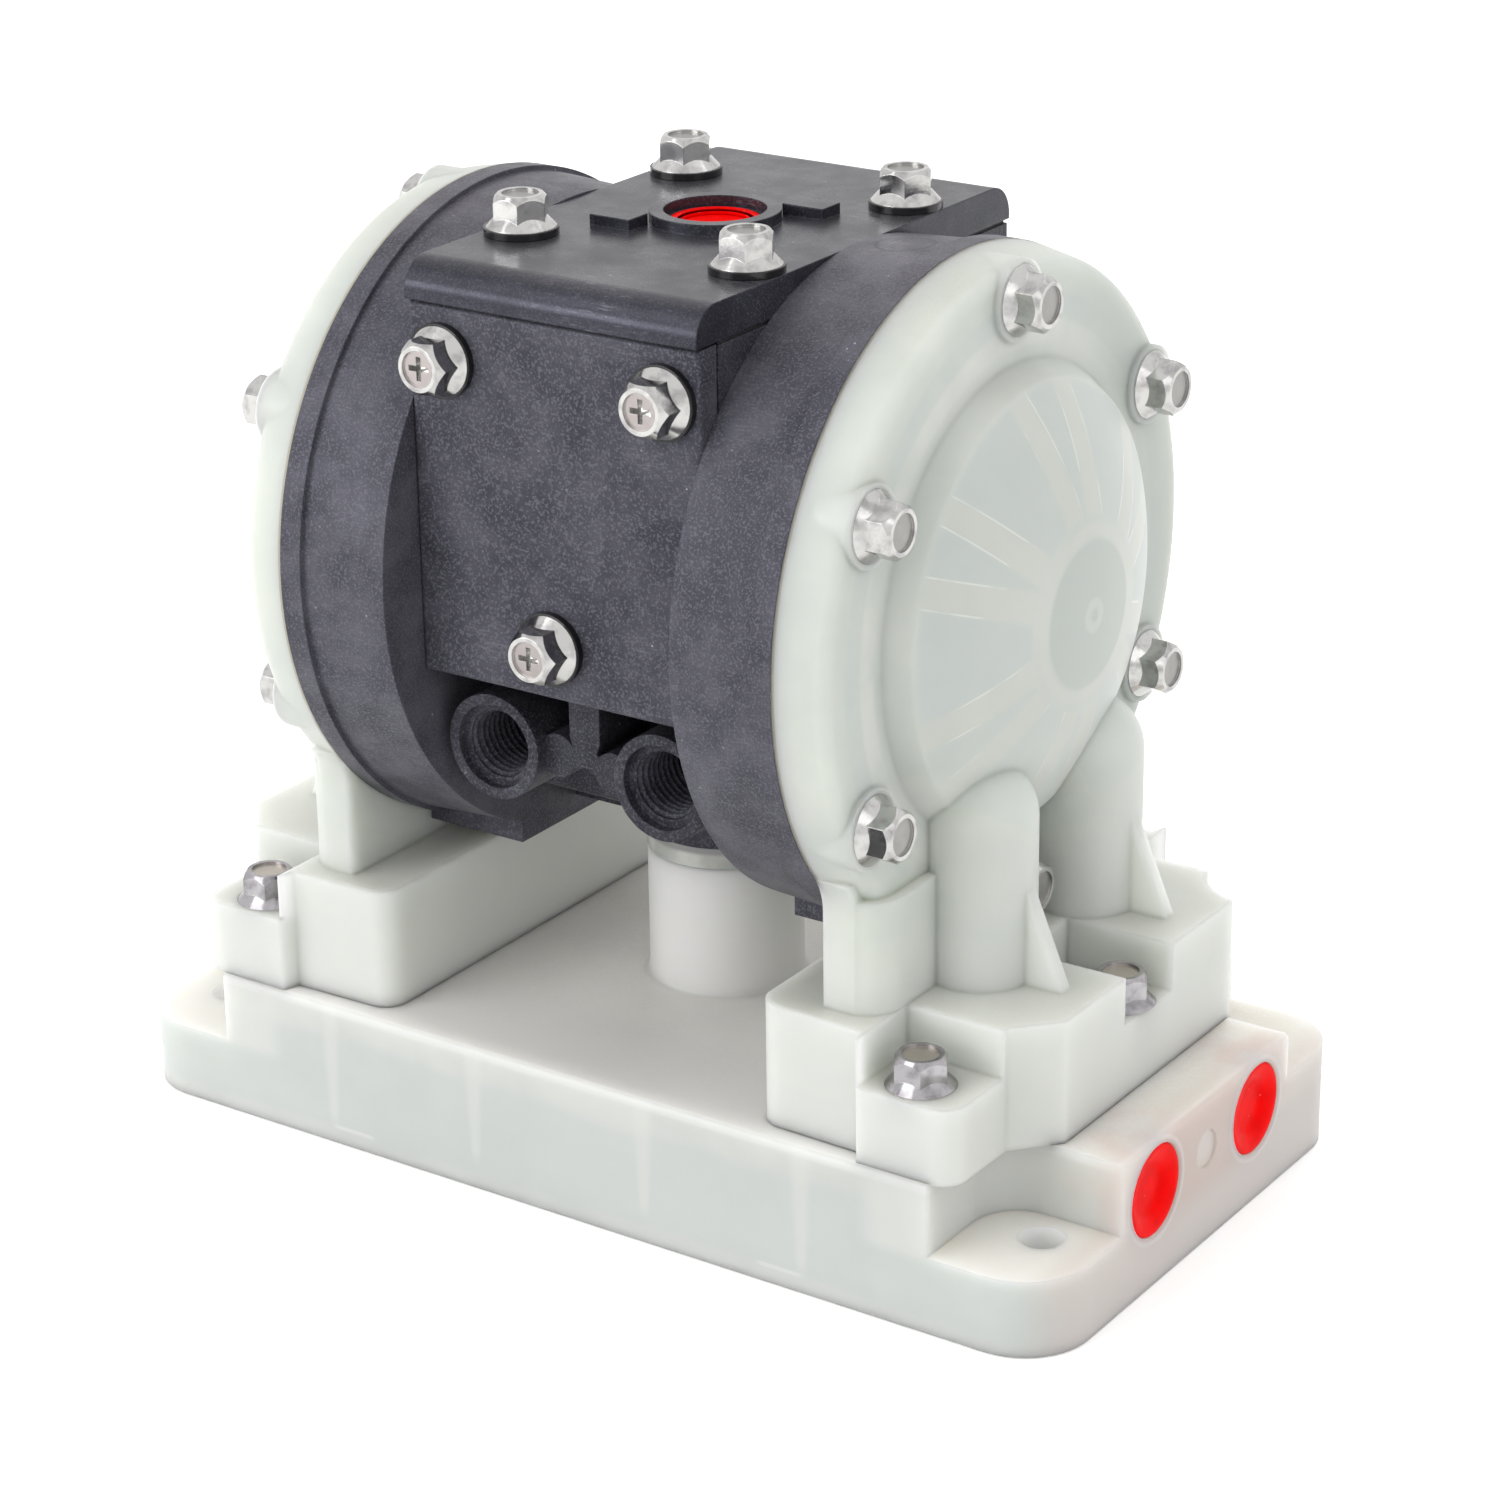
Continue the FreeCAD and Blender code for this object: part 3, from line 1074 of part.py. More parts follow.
chamber_bolt = bolt("chamber_bolt", s.chamber_bolt_length)
base_bolt = bolt("base_bolt", s.base_bolt_length)
cover_bolt = bolt("cover_bolt", s.cover_bolt_length)
crossed_bolt = bolt("crossed_bolt", s.cover_bolt_length, crossed=True)

right_bolts = copies("chamber_bolts_right", chamber_bolt, [
    (s.bolt_seat, y, s.shaft_height + z, POINTS_RIGHT) for y, z in bolt_places(s.bolt_circle)
])
keep("chamber_bolts_right", right_bolts)
keep("chamber_bolts_left", mirrored("chamber_bolts_left", right_bolts))
keep("base_bolts", copies("base_bolts", base_bolt, [
    (x, y, level, UPRIGHT) for x, y, level in base_bolt_places
]))

washer = cut("washer", cylinder("washer_outside", s.washer_radius, s.washer_thickness),
             cylinder("washer_inside", s.bolt_hole, s.washer_thickness))
keep("top_cover_washers", copies("top_cover_washers", washer, [
    (x, y, top_cover_top, UPRIGHT) for x, y in top_bolt_places
]))
keep("top_cover_bolts", copies("top_cover_bolts", cover_bolt, [
    (x, y, top_cover_top + s.washer_thickness, UPRIGHT) for x, y in top_bolt_places
]))
keep("front_cover_washers", copies("front_cover_washers", washer, [
    (x, -front_cover_face, z, POINTS_FRONT) for x, z in front_bolt_places
]))
keep("front_cover_bolts", copies("front_cover_bolts", crossed_bolt, [
    (x, -front_cover_face - s.washer_thickness, z, POINTS_FRONT) for x, z in front_bolt_places
]))


# Shaft group: steel shaft, a disc on each side of each diaphragm, and the diaphragms.

shaft = keep("diaphragm_shaft", new_body("diaphragm_shaft", z=s.shaft_height))
groove_radius = s.shaft_radius - s.pilot_groove_depth
shaft_end = s.shaft_half + s.stud_length
half_profile = [
    (s.pilot_groove_start, s.shaft_radius),
    (s.pilot_groove_start, groove_radius),
    (s.pilot_groove_end, groove_radius),
    (s.pilot_groove_end, s.shaft_radius),
    (s.shaft_half, s.shaft_radius),
    (s.shaft_half, s.stud_radius),
    (shaft_end, s.stud_radius),
]
turned(shaft, "shaft_turning", "XZ_Plane",
       [(-shaft_end, 0)] + [(-x, radius) for x, radius in reversed(half_profile)]
       + half_profile + [(shaft_end, 0)], "H_Axis")

disc_bore = s.stud_radius + s.fit_gap
diaphragm_plane = s.joint_plane
diaphragm_inside = diaphragm_plane - s.diaphragm_half
diaphragm_outside = diaphragm_plane + s.diaphragm_half

inner_disc = keep("inner_disc_right", new_body("inner_disc_right", z=s.shaft_height))
turned(inner_disc, "inner_disc_turning", "XZ_Plane", [
    (s.shaft_half, disc_bore),
    (s.shaft_half, s.inner_disc_radius - 1),
    (s.shaft_half + 1, s.inner_disc_radius),
    (diaphragm_inside, s.inner_disc_radius),
    (diaphragm_inside, disc_bore),
], "H_Axis")
keep("inner_disc_left", mirrored("inner_disc_left", inner_disc))

outer_disc = keep("outer_disc_right", new_body("outer_disc_right", z=s.shaft_height))
turned(outer_disc, "outer_disc_turning", "XZ_Plane", [
    (diaphragm_outside, disc_bore),
    (diaphragm_outside, s.outer_disc_radius),
    (diaphragm_outside + s.outer_disc_rim, s.outer_disc_radius),
    (diaphragm_outside + s.outer_disc_thickness, s.outer_disc_radius / 2),
    (diaphragm_outside + s.outer_disc_thickness, 0),
    (shaft_end + s.fit_gap, 0),
    (shaft_end + s.fit_gap, disc_bore),
], "H_Axis")
keep("outer_disc_left", mirrored("outer_disc_left", outer_disc))

diaphragm = keep("diaphragm_right", new_body("diaphragm_right", z=s.shaft_height))
roll_middle = (s.roll_inner + s.roll_outer) / 2
roll_half = (s.roll_outer - s.roll_inner) / 2
roll_bend = (roll_half * roll_half + s.roll_depth * s.roll_depth) / s.roll_depth / 2
turned(diaphragm, "diaphragm_moulding", "XZ_Plane", [
    (diaphragm_inside, disc_bore),
    (diaphragm_inside, s.roll_inner - s.diaphragm_half, -(roll_bend + s.diaphragm_half)),
    (diaphragm_inside, s.roll_outer + s.diaphragm_half),
    (diaphragm_inside, s.bead_inner + s.valve_gap),
    (diaphragm_plane - s.bead_half + s.valve_gap, s.bead_inner + s.valve_gap),
    (diaphragm_plane - s.bead_half + s.valve_gap, s.bead_outer - s.valve_gap),
    (diaphragm_plane + s.bead_half - s.valve_gap, s.bead_outer - s.valve_gap),
    (diaphragm_plane + s.bead_half - s.valve_gap, s.bead_inner + s.valve_gap),
    (diaphragm_outside, s.bead_inner + s.valve_gap),
    (diaphragm_outside, s.roll_outer - s.diaphragm_half, roll_bend - s.diaphragm_half),
    (diaphragm_outside, s.roll_inner + s.diaphragm_half),
    (diaphragm_outside, disc_bore),
], "H_Axis")
keep("diaphragm_left", mirrored("diaphragm_left", diaphragm))

bush = new_body("shaft_bush")
bush_outside = s.bush_radius - s.fit_gap
turned(bush, "bush_turning", "XZ_Plane",
       rectangle(0, s.bush_length, s.shaft_radius + s.fit_gap, bush_outside), "H_Axis")
keep("shaft_bushes", copies("shaft_bushes", bush, [
    (s.body_half - s.bush_length, 0, s.shaft_height, UPRIGHT),
    (-s.body_half, 0, s.shaft_height, UPRIGHT),
]))
shaft_seal = document.addObject("Part::Torus", "shaft_seal")
bind(shaft_seal, "Radius1", s.shaft_radius + s.fit_gap + s.shaft_seal_cord)
bind(shaft_seal, "Radius2", s.shaft_seal_cord)
seal_x = s.body_half - s.bush_room + s.shaft_seal_cord + s.fit_gap
keep("shaft_seals", copies("shaft_seals", shaft_seal, [
    (seal_x * side, 0, s.shaft_height, POINTS_RIGHT) for side in SIDES
]))


# Air valve: a sleeve with ports, and a spool with three lands and four seals.

sleeve = keep("valve_sleeve", new_body("valve_sleeve", z=s.spool_height))
sleeve_outside = s.sleeve_bore - s.fit_gap
sleeve_inside = s.spool_radius + s.fit_gap
turned(sleeve, "sleeve_turning", "XZ_Plane",
       rectangle(-s.body_half, s.body_half, sleeve_inside, sleeve_outside), "H_Axis")
bores(sleeve, "sleeve_inlet", "XY_Plane", [(0, 0)], s.sleeve_port, s.sleeve_bore, lift=s.sleeve_bore)
bores(sleeve, "sleeve_chamber_ports", "XY_Plane", [(s.sleeve_port_x * side, 0) for side in SIDES],
      s.sleeve_port, s.sleeve_bore)
bores(sleeve, "sleeve_exhaust_ports", "XZ_Plane", [(s.exhaust_port_x * side, 0) for side in SIDES],
      s.sleeve_port, s.sleeve_bore)

spool = keep("valve_spool", new_body("valve_spool", z=s.spool_height))
seal_width = s.spool_seal_cord * 2 + s.fit_gap * 2
seal_floor = s.spool_radius - s.spool_seal_cord * 2 - s.fit_gap
land_start = s.spool_half - s.land_length
first_seal = s.land_half / 2
second_seal = land_start + s.land_length / 2
half_spool = []
for start in (first_seal, second_seal):
    half_spool += [
        (start - seal_width / 2, s.spool_radius),
        (start - seal_width / 2, seal_floor),
        (start + seal_width / 2, seal_floor),
        (start + seal_width / 2, s.spool_radius),
    ]
    if start is first_seal:
        half_spool += [
            (s.land_half, s.spool_radius),
            (s.land_half, s.spool_neck),
            (land_start, s.spool_neck),
            (land_start, s.spool_radius),
        ]
half_spool.append((s.spool_half, s.spool_radius))
turned(spool, "spool_turning", "XZ_Plane",
       [(-s.spool_half, 0)] + [(-x, radius) for x, radius in reversed(half_spool)]
       + half_spool + [(s.spool_half, 0)], "H_Axis")
spool_seal = document.addObject("Part::Torus", "spool_seal")
bind(spool_seal, "Radius1", s.spool_radius - s.spool_seal_cord)
bind(spool_seal, "Radius2", s.spool_seal_cord)
keep("spool_seals", copies("spool_seals", spool_seal, [
    (x * side, 0, s.spool_height, POINTS_RIGHT) for side in SIDES for x in (first_seal, second_seal)
]))


# Transport plugs: soft red plastic cups pressed into the ports.

def plug(name, x, y, z, rotation, flange_radius):
    """A cup with a flat rim, open outwards, that lies along its own +Z."""
    body = new_body(name)
    body.Placement = FreeCAD.Placement(FreeCAD.Vector(), rotation)
    put(body, x, y, z)
    stem = s.pipe_bore - s.valve_gap
    cup = stem - s.plug_wall
    turned(body, f"{name}_cup", "XZ_Plane", [
        (0, -s.plug_length),
        (stem - 1, -s.plug_length),
        (stem, -(s.plug_length - 1)),
        (stem, 0),
        (flange_radius, 0),
        (flange_radius, s.plug_flange),
        (cup + 0.6, s.plug_flange),
        (cup, 0),
        (cup - 1.5, s.plug_wall * 2 - s.plug_length),
        (0, s.plug_wall - s.plug_length),
    ], "V_Axis")
    return keep(name, body)


port_seat = half_length - s.port_relief
plug("suction_plug", port_seat, suction_y, s.channel_height, POINTS_RIGHT, s.channel_mouth - s.valve_gap)
plug("discharge_plug", port_seat, discharge_y, s.channel_height, POINTS_RIGHT, s.channel_mouth - s.valve_gap)
inlet_seat = top_cover_top + s.inlet_boss_height - s.inlet_recess_depth
plug("air_inlet_plug", as_length(0), as_length(0), inlet_seat, UPRIGHT, s.inlet_recess - s.valve_gap)


# Build, test and write every sub-part.

document.recompute()
for thing in document.Objects:
    if any(word in thing.State for word in ("Invalid", "Error")):
        raise ValueError(f"{thing.Name} failed: {thing.State}")
os.makedirs("parts", exist_ok=True)
for name, thing in nodes.items():
    shape = thing.Shape
    if shape.isNull() or not shape.isValid() or not shape.Solids:
        raise ValueError(f"{name} has no valid solid")
    shape.exportStep(f"parts/{name}.step")
    box = shape.BoundBox
    print(f"{name}: {len(shape.Solids)} solids, {shape.Volume:.1f} mm3, "
          f"x {box.XMin:.2f} {box.XMax:.2f} y {box.YMin:.2f} {box.YMax:.2f} z {box.ZMin:.2f} {box.ZMax:.2f}")
print(f"{len(nodes)} sub-parts")
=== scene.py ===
import bpy
import math
import numpy as np
from mathutils import Matrix, Vector


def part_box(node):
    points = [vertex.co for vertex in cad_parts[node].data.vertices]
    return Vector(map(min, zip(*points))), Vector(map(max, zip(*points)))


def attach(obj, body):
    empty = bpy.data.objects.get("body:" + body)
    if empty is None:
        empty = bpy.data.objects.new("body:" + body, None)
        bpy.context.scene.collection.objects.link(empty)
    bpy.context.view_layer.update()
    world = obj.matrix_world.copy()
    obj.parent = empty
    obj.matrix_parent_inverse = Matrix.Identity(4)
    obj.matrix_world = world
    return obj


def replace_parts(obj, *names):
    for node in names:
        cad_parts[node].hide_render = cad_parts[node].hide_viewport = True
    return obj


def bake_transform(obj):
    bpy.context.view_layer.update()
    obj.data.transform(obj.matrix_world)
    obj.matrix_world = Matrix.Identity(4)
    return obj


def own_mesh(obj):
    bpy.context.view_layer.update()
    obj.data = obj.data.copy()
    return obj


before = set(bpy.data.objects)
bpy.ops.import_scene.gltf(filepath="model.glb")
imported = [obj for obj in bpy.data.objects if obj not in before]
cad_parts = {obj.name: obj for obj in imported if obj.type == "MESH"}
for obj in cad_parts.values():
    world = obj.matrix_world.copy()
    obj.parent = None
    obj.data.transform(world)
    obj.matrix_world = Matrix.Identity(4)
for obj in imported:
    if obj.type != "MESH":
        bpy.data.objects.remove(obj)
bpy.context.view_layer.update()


# Base: one moulding of natural polypropylene, milky and slightly see-through, cored from below.
# Ribs and the corner recesses show through the walls as paler bands, dust lies on the deck,
# and the red plugs colour the plastic around them. Places are measured from the middle of the underside.

MM = 0.001
SHAFT_HEIGHT = 101.15 * MM
PORT_Y, PORT_Z = 16.4 * MM, 16.3 * MM
MOUNT_X, MOUNT_Y, MOUNT_HOLE = 80.8 * MM, 33.6 * MM, 3.5 * MM
CORED_TO, TOP_EDGE, POST_FOOT = 18 * MM, 24.4 * MM, 25 * MM
END_WALL, RECESS_START = 91 * MM, 60 * MM
WALL_RIBS = ((16.8 * MM, 4.5 * MM), (46.6 * MM, 2.8 * MM))  # how far along, and from what height each shows
RIB_FOOT_MIDDLE, RIB_FOOT_HEIGHT = 42.5 * MM, 3 * MM
PLUG_HALO, GATE_MARK = 8.6 * MM, 2.8 * MM


def linear(code):
    """An sRGB hex value as linear colour: ((c + 0.055) / 1.055) to the power 2.4, or c / 12.92 near black."""
    parts = np.array([int(code[i:i + 2], 16) for i in (1, 3, 5)]) / 255
    return (*np.where(parts > 0.04045, ((parts + 0.055) / 1.055) ** 2.4, parts / 12.92), 1.0)


def add(tree, kind, inputs=None, **settings):
    """Adds a shader node. An input takes a value or the output of another node."""
    node = tree.nodes.new("ShaderNode" + kind)
    for name, value in settings.items():
        setattr(node, name, value)
    for name, value in (inputs or {}).items():
        if isinstance(value, bpy.types.NodeSocket):
            tree.links.new(value, node.inputs[name])
        else:
            node.inputs[name].default_value = value
    return node.outputs[2] if settings.get("data_type") == "RGBA" else node.outputs[0]


def finish_for(name, roughness, **sockets):
    """A new material with one Principled shader: its tree, its shader and the Object coordinates."""
    material = bpy.data.materials.new(name)
    material.use_nodes = True
    tree = material.node_tree
    shader = tree.nodes["Principled BSDF"]
    shader.inputs["Roughness"].default_value = roughness
    for socket, value in sockets.items():
        shader.inputs[socket.replace("_", " ")].default_value = value
    return material, tree, shader, add(tree, "TexCoord").node.outputs["Object"]


def dress(material, *names):
    """Gives CAD nodes one material."""
    for name in names:
        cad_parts[name].data.materials.clear()
        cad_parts[name].data.materials.append(material)


def band(tree, value, middle, half, soft):
    """1 where the value lies within half of the middle, falling smoothly to 0 over the soft width."""
    away = add(tree, "Math", {0: value, 1: middle}, operation="SUBTRACT")
    away = add(tree, "Math", {0: away}, operation="ABSOLUTE")
    return add(tree, "MapRange", {0: away, 1: half, 2: half + soft, 3: 1.0, 4: 0.0}, interpolation_type="SMOOTHSTEP")


def step_up(tree, value, low, high):
    """0 below low, 1 above high and smooth between."""
    return add(tree, "MapRange", {0: value, 1: low, 2: high}, interpolation_type="SMOOTHSTEP")


def times(tree, *factors):
    """The product of several masks."""
    product = factors[0]
    for factor in factors[1:]:
        product = add(tree, "Math", {0: product, 1: factor}, operation="MULTIPLY")
    return product


def tint(tree, under, over, mask):
    """Lays one colour over another where the mask is 1."""
    over = linear(over) if isinstance(over, str) else over
    under = linear(under) if isinstance(under, str) else under
    return add(tree, "Mix", {0: mask, 6: under, 7: over}, data_type="RGBA")


def milky_plastic(name, cloud, pale, shade, reach):
    """Natural polypropylene: clouded body colour that drifts over about 20 mm, with light spreading inside it.

    Gives the eye a wax-like pale solid whose hollows stay light.
    """
    material, tree, shader, place = finish_for(
        name, 0.4, IOR=1.49, Subsurface_Weight=1.0, Subsurface_Scale=reach)
    shader.inputs["Subsurface Radius"].default_value = (1.0, 1.0, 0.92)
    drift = add(tree, "TexNoise", {"Vector": place, "Scale": 1 / (20 * MM), "Detail": 3.0})
    colour = tint(tree, shade, pale, step_up(tree, drift, 0.35, 0.65))
    flow = add(tree, "Mapping", {0: place, 3: (0.35, 1.0, 1.0)})
    flow = add(tree, "TexNoise", {"Vector": flow, "Scale": 1 / (7 * MM), "Detail": 4.0, "Distortion": 0.8})
    colour = tint(tree, colour, cloud, times(tree, step_up(tree, flow, 0.45, 0.75), 0.5))
    return material, tree, shader, place, colour


def facing_up(tree):
    """1 on faces that look up, falling to 0 on slopes steeper than 40 degrees."""
    upward = add(tree, "NewGeometry").node.outputs["Normal"]
    upward = add(tree, "SeparateXYZ", {0: upward}).node.outputs["Z"]
    return step_up(tree, upward, 0.75, 0.98)


def dust(tree, place, colour, amount, code="#b9b2a4"):
    """Beige dust on faces that look up: a thin even layer, thicker in patches 15 mm wide, with fine grains.

    The grains are drawn 0.5 mm wide, coarser than real dust.
    """
    patches = add(tree, "TexNoise", {"Vector": place, "Scale": 1 / (15 * MM), "Detail": 5.0})
    patches = add(tree, "MapRange", {0: patches, 1: 0.35, 2: 0.65, 3: 0.55, 4: 1.0})
    grains = add(tree, "TexNoise", {"Vector": place, "Scale": 1 / (0.5 * MM), "Detail": 2.0})
    grains = add(tree, "MapRange", {0: grains, 1: 0.35, 2: 0.65, 3: 0.6, 4: 1.0})
    layer = times(tree, facing_up(tree), patches, grains, amount)
    return tint(tree, colour, code, layer)


def soft_skin(tree, shader, place, colour, edge, grain, depth):
    """Joins colour and a fine moulded grain to the shader, with corners rounded in shading by the edge width."""
    corner = add(tree, "Bevel", {"Radius": edge}, samples=4)
    fine = add(tree, "TexNoise", {"Vector": place, "Scale": 1 / grain, "Detail": 3.0})
    bump = add(tree, "Bump", {"Strength": 1.0, "Distance": depth, "Height": fine, "Normal": corner})
    tree.links.new(bump, shader.inputs["Normal"])
    tree.links.new(colour, shader.inputs["Base Color"])


natural_base, tree, shader, place, colour = milky_plastic("natural polypropylene base", "#d0d2cd", "#d3d5d0",
                                                          "#cacdc9", 8 * MM)
split = add(tree, "SeparateXYZ", {0: place}).node
x, y, z = split.outputs[0], split.outputs[1], split.outputs[2]
along, across = add(tree, "Math", {0: x}, operation="ABSOLUTE"), add(tree, "Math", {0: y}, operation="ABSOLUTE")
wavy = add(tree, "TexNoise", {"Vector": place, "Scale": 1 / (18 * MM), "Detail": 2.0})
level = add(tree, "MapRange", {0: wavy, 3: -1.5 * MM, 4: 1.5 * MM})
level = add(tree, "Math", {0: z, 1: level}, operation="ADD")
low_wall = step_up(tree, level, CORED_TO + 3 * MM, CORED_TO)
colour = tint(tree, colour, "#c3c9c8", times(tree, low_wall, step_up(tree, z, 1 * MM, 4 * MM), 0.5))
for rib, foot in WALL_RIBS:
    width = add(tree, "MapRange", {0: z, 1: foot, 2: 22 * MM, 3: 0.7 * MM, 4: 1.5 * MM})
    away = add(tree, "Math", {0: along, 1: rib}, operation="SUBTRACT")
    away = add(tree, "Math", {0: away}, operation="ABSOLUTE")
    away = add(tree, "Math", {0: away, 1: width}, operation="DIVIDE")
    rib_mask = times(tree, step_up(tree, away, 1.8, 0.3), step_up(tree, z, foot - MM, foot + 3 * MM), 0.4)
    colour = tint(tree, colour, "#dcddd7", rib_mask)
solid_corner = times(tree, step_up(tree, along, 56 * MM, 61 * MM), step_up(tree, z, 11 * MM, 14 * MM))
colour = tint(tree, colour, "#dcdcd7", times(tree, solid_corner, 0.5))
# Painted highlight: a pale line along the base's top edge, away from the end wall.
top_edge_highlight = times(tree, band(tree, z, TOP_EDGE, 0.3 * MM, 0.8 * MM), step_up(tree, along, 90.5 * MM, 89.5 * MM), 0.5)
colour = tint(tree, colour, "#e2e3df", top_edge_highlight)
rib_foot = times(tree, band(tree, z, RIB_FOOT_HEIGHT, 0.15 * MM, 0.4 * MM),
                 band(tree, along, RIB_FOOT_MIDDLE, 3 * MM, 2 * MM), 0.5)
colour = tint(tree, colour, "#e4e5e0", rib_foot)
# Painted light: faces that look up are drawn paler, as if lit more from above.
colour = tint(tree, colour, "#eeece6", facing_up(tree))
# Painted light: everything above the post's foot is drawn paler, lifting the shade under the body.
colour = tint(tree, colour, "#eeede9", times(tree, step_up(tree, z, POST_FOOT, POST_FOOT + MM), 0.9))
dusty = add(tree, "MapRange", {0: y, 1: -45 * MM, 2: 10 * MM, 3: 0.1, 4: 0.4})
dusty_end = add(tree, "MapRange", {0: along, 1: RECESS_START, 2: 74 * MM, 3: 0.0, 4: 0.42})
dusty_end = times(tree, dusty_end, step_up(tree, z, 19 * MM, 23 * MM))
colour = dust(tree, place, colour, add(tree, "Math", {0: dusty, 1: dusty_end}, operation="MAXIMUM"), "#c9bfb1")
# Painted light: the mounting holes' walls are drawn near white, so their hollows show no shade.
hole_x = add(tree, "Math", {0: along, 1: MOUNT_X}, operation="SUBTRACT")
hole_y = add(tree, "Math", {0: across, 1: MOUNT_Y}, operation="SUBTRACT")
lit_hole_walls = add(tree, "VectorMath", {0: add(tree, "CombineXYZ", {0: hole_x, 1: hole_y})}, operation="LENGTH").node
lit_hole_walls = step_up(tree, lit_hole_walls.outputs["Value"], MOUNT_HOLE + 0.2 * MM, MOUNT_HOLE)
colour = tint(tree, colour, "#fdfcf8", lit_hole_walls)
port_away = add(tree, "CombineXYZ", {1: add(tree, "Math", {0: across, 1: PORT_Y}, operation="SUBTRACT"),
                                     2: add(tree, "Math", {0: z, 1: PORT_Z}, operation="SUBTRACT")})
port_away = add(tree, "VectorMath", {0: port_away}, operation="LENGTH").node.outputs["Value"]
blotch = add(tree, "TexNoise", {"Vector": place, "Scale": 1 / (6 * MM), "Detail": 2.0})
high = add(tree, "MapRange", {0: z, 1: 13 * MM, 2: 24 * MM, 3: 0.25, 4: 1.0})
glow = times(tree, step_up(tree, port_away, 15 * MM, 7 * MM), step_up(tree, x, 72 * MM, 92 * MM),
             step_up(tree, blotch, 0.25, 0.75), high, 0.6)
colour = tint(tree, colour, "#d8a79d", glow)
end_wall = step_up(tree, x, END_WALL - 0.7 * MM, END_WALL)
colour = tint(tree, colour, "#cfc3be", times(tree, step_up(tree, x, END_WALL - 7 * MM, END_WALL), 0.6))
from_gate = add(tree, "CombineXYZ", {1: y, 2: add(tree, "Math", {0: z, 1: PORT_Z}, operation="SUBTRACT")})
from_gate = add(tree, "VectorMath", {0: from_gate}, operation="LENGTH").node.outputs["Value"]
between = times(tree, step_up(tree, across, 22 * MM, 6 * MM), step_up(tree, z, 5 * MM, 13 * MM), end_wall, 0.6)
colour = tint(tree, colour, "#c4afa6", between)
gate_mark = step_up(tree, from_gate, GATE_MARK + 0.6 * MM, GATE_MARK)
colour = tint(tree, colour, "#e0dbd6", times(tree, end_wall, gate_mark, 0.6))
halo = times(tree, band(tree, port_away, PLUG_HALO, 0.1 * MM, 0.5 * MM), step_up(tree, x, END_WALL - MM, END_WALL))
colour = tint(tree, colour, "#e4e4e0", times(tree, halo, 0.4))
soft_skin(tree, shader, place, colour, 0.9 * MM, 0.9 * MM, 0.012 * MM)
dress(natural_base, "base_manifold")


# Ring on the post: a short tube of clear soft plastic that takes up the last of the height.
# It looks grey because it shows the black neck and the white post in one, with a darker line round it.

RING_LINE = 51.6 * MM
clear_ring, tree, shader, place = finish_for("clear flexible plastic", 0.22, IOR=1.45, Subsurface_Weight=0.3,
                                             Subsurface_Scale=2 * MM)
height = add(tree, "SeparateXYZ", {0: place}).node.outputs[2]
cloudy = add(tree, "TexNoise", {"Vector": place, "Scale": 1 / (5 * MM), "Detail": 2.0})
colour = tint(tree, "#a9aaa6", "#c6c7c2", step_up(tree, cloudy, 0.3, 0.7))
colour = tint(tree, colour, "#8d8e8d", band(tree, height, RING_LINE, 0.3 * MM, 0.9 * MM))
soft_skin(tree, shader, place, colour, 0.3 * MM, 2 * MM, 0.02 * MM)
dress(clear_ring, "post_ring")


# Silencer: a plug of sintered polyethylene in the post, where spent air leaves.
# Its beads, drawn 1 mm wide, give the eye a chalky, open surface.

sintered, tree, shader, place = finish_for("sintered polyethylene", 0.85)
beads = add(tree, "TexVoronoi", {"Vector": place, "Scale": 1 / (1 * MM)})
colour = tint(tree, "#e4e2da", "#a8a599", step_up(tree, beads, 0.35, 0.7))
bump = add(tree, "Bump", {"Distance": 0.2 * MM, "Height": beads}, invert=True)
tree.links.new(bump, shader.inputs["Normal"])
tree.links.new(colour, shader.inputs["Base Color"])
dress(sintered, "exhaust_silencer")


# Outer chambers: one natural polypropylene moulding each, with rim, crown, two valve columns and a foot.
# The crown's inner ribs and its hub shine through as paler bars between cooler windows, the clamped bead
# shows as a ring between the bolts, and a thin yellowish line marks the joint.

HUB_EDGE, HUB_RIM, GATE_RING = 12.2 * MM, 13.2 * MM, 1.9 * MM
CROWN_MIDDLE, CROWN_HALF, RIB_HALF = 25 * MM, 9 * MM, 2.4 * MM
RIB_SPACING, RIB_TURN = math.radians(60), math.radians(10.5)
RIM_FACE, JOINT, RIM_RADIUS = 54 * MM, 46.4 * MM, 53.4 * MM
BEAD_SHADE, BEAD_LIGHT = 45.5 * MM, 41.5 * MM
LEGS_TO = 62 * MM
natural_chamber, tree, shader, place, colour = milky_plastic("natural polypropylene chamber", "#cfd3cb", "#d2d6cf",
                                                             "#c9cec8", 9 * MM)
split = add(tree, "SeparateXYZ", {0: place}).node
x, y, z = split.outputs[0], split.outputs[1], split.outputs[2]
along = add(tree, "Math", {0: x}, operation="ABSOLUTE")
lift = add(tree, "Math", {0: z, 1: SHAFT_HEIGHT}, operation="SUBTRACT")
radius = add(tree, "CombineXYZ", {0: y, 1: lift})
radius = add(tree, "VectorMath", {0: radius}, operation="LENGTH").node.outputs["Value"]
turn = add(tree, "Math", {0: lift, 1: y}, operation="ARCTAN2")
sector = add(tree, "Math", {0: turn, 1: RIB_SPACING}, operation="FLOORED_MODULO")
sector = add(tree, "Math", {0: sector, 1: RIB_SPACING / 2}, operation="SUBTRACT")
sector = add(tree, "Math", {0: sector}, operation="ABSOLUTE")
off_rib = add(tree, "Math", {0: sector, 1: RIB_TURN}, operation="SUBTRACT")
off_rib = add(tree, "Math", {0: off_rib}, operation="SINE")
off_rib = add(tree, "Math", {0: off_rib}, operation="ABSOLUTE")
off_rib = times(tree, off_rib, radius)
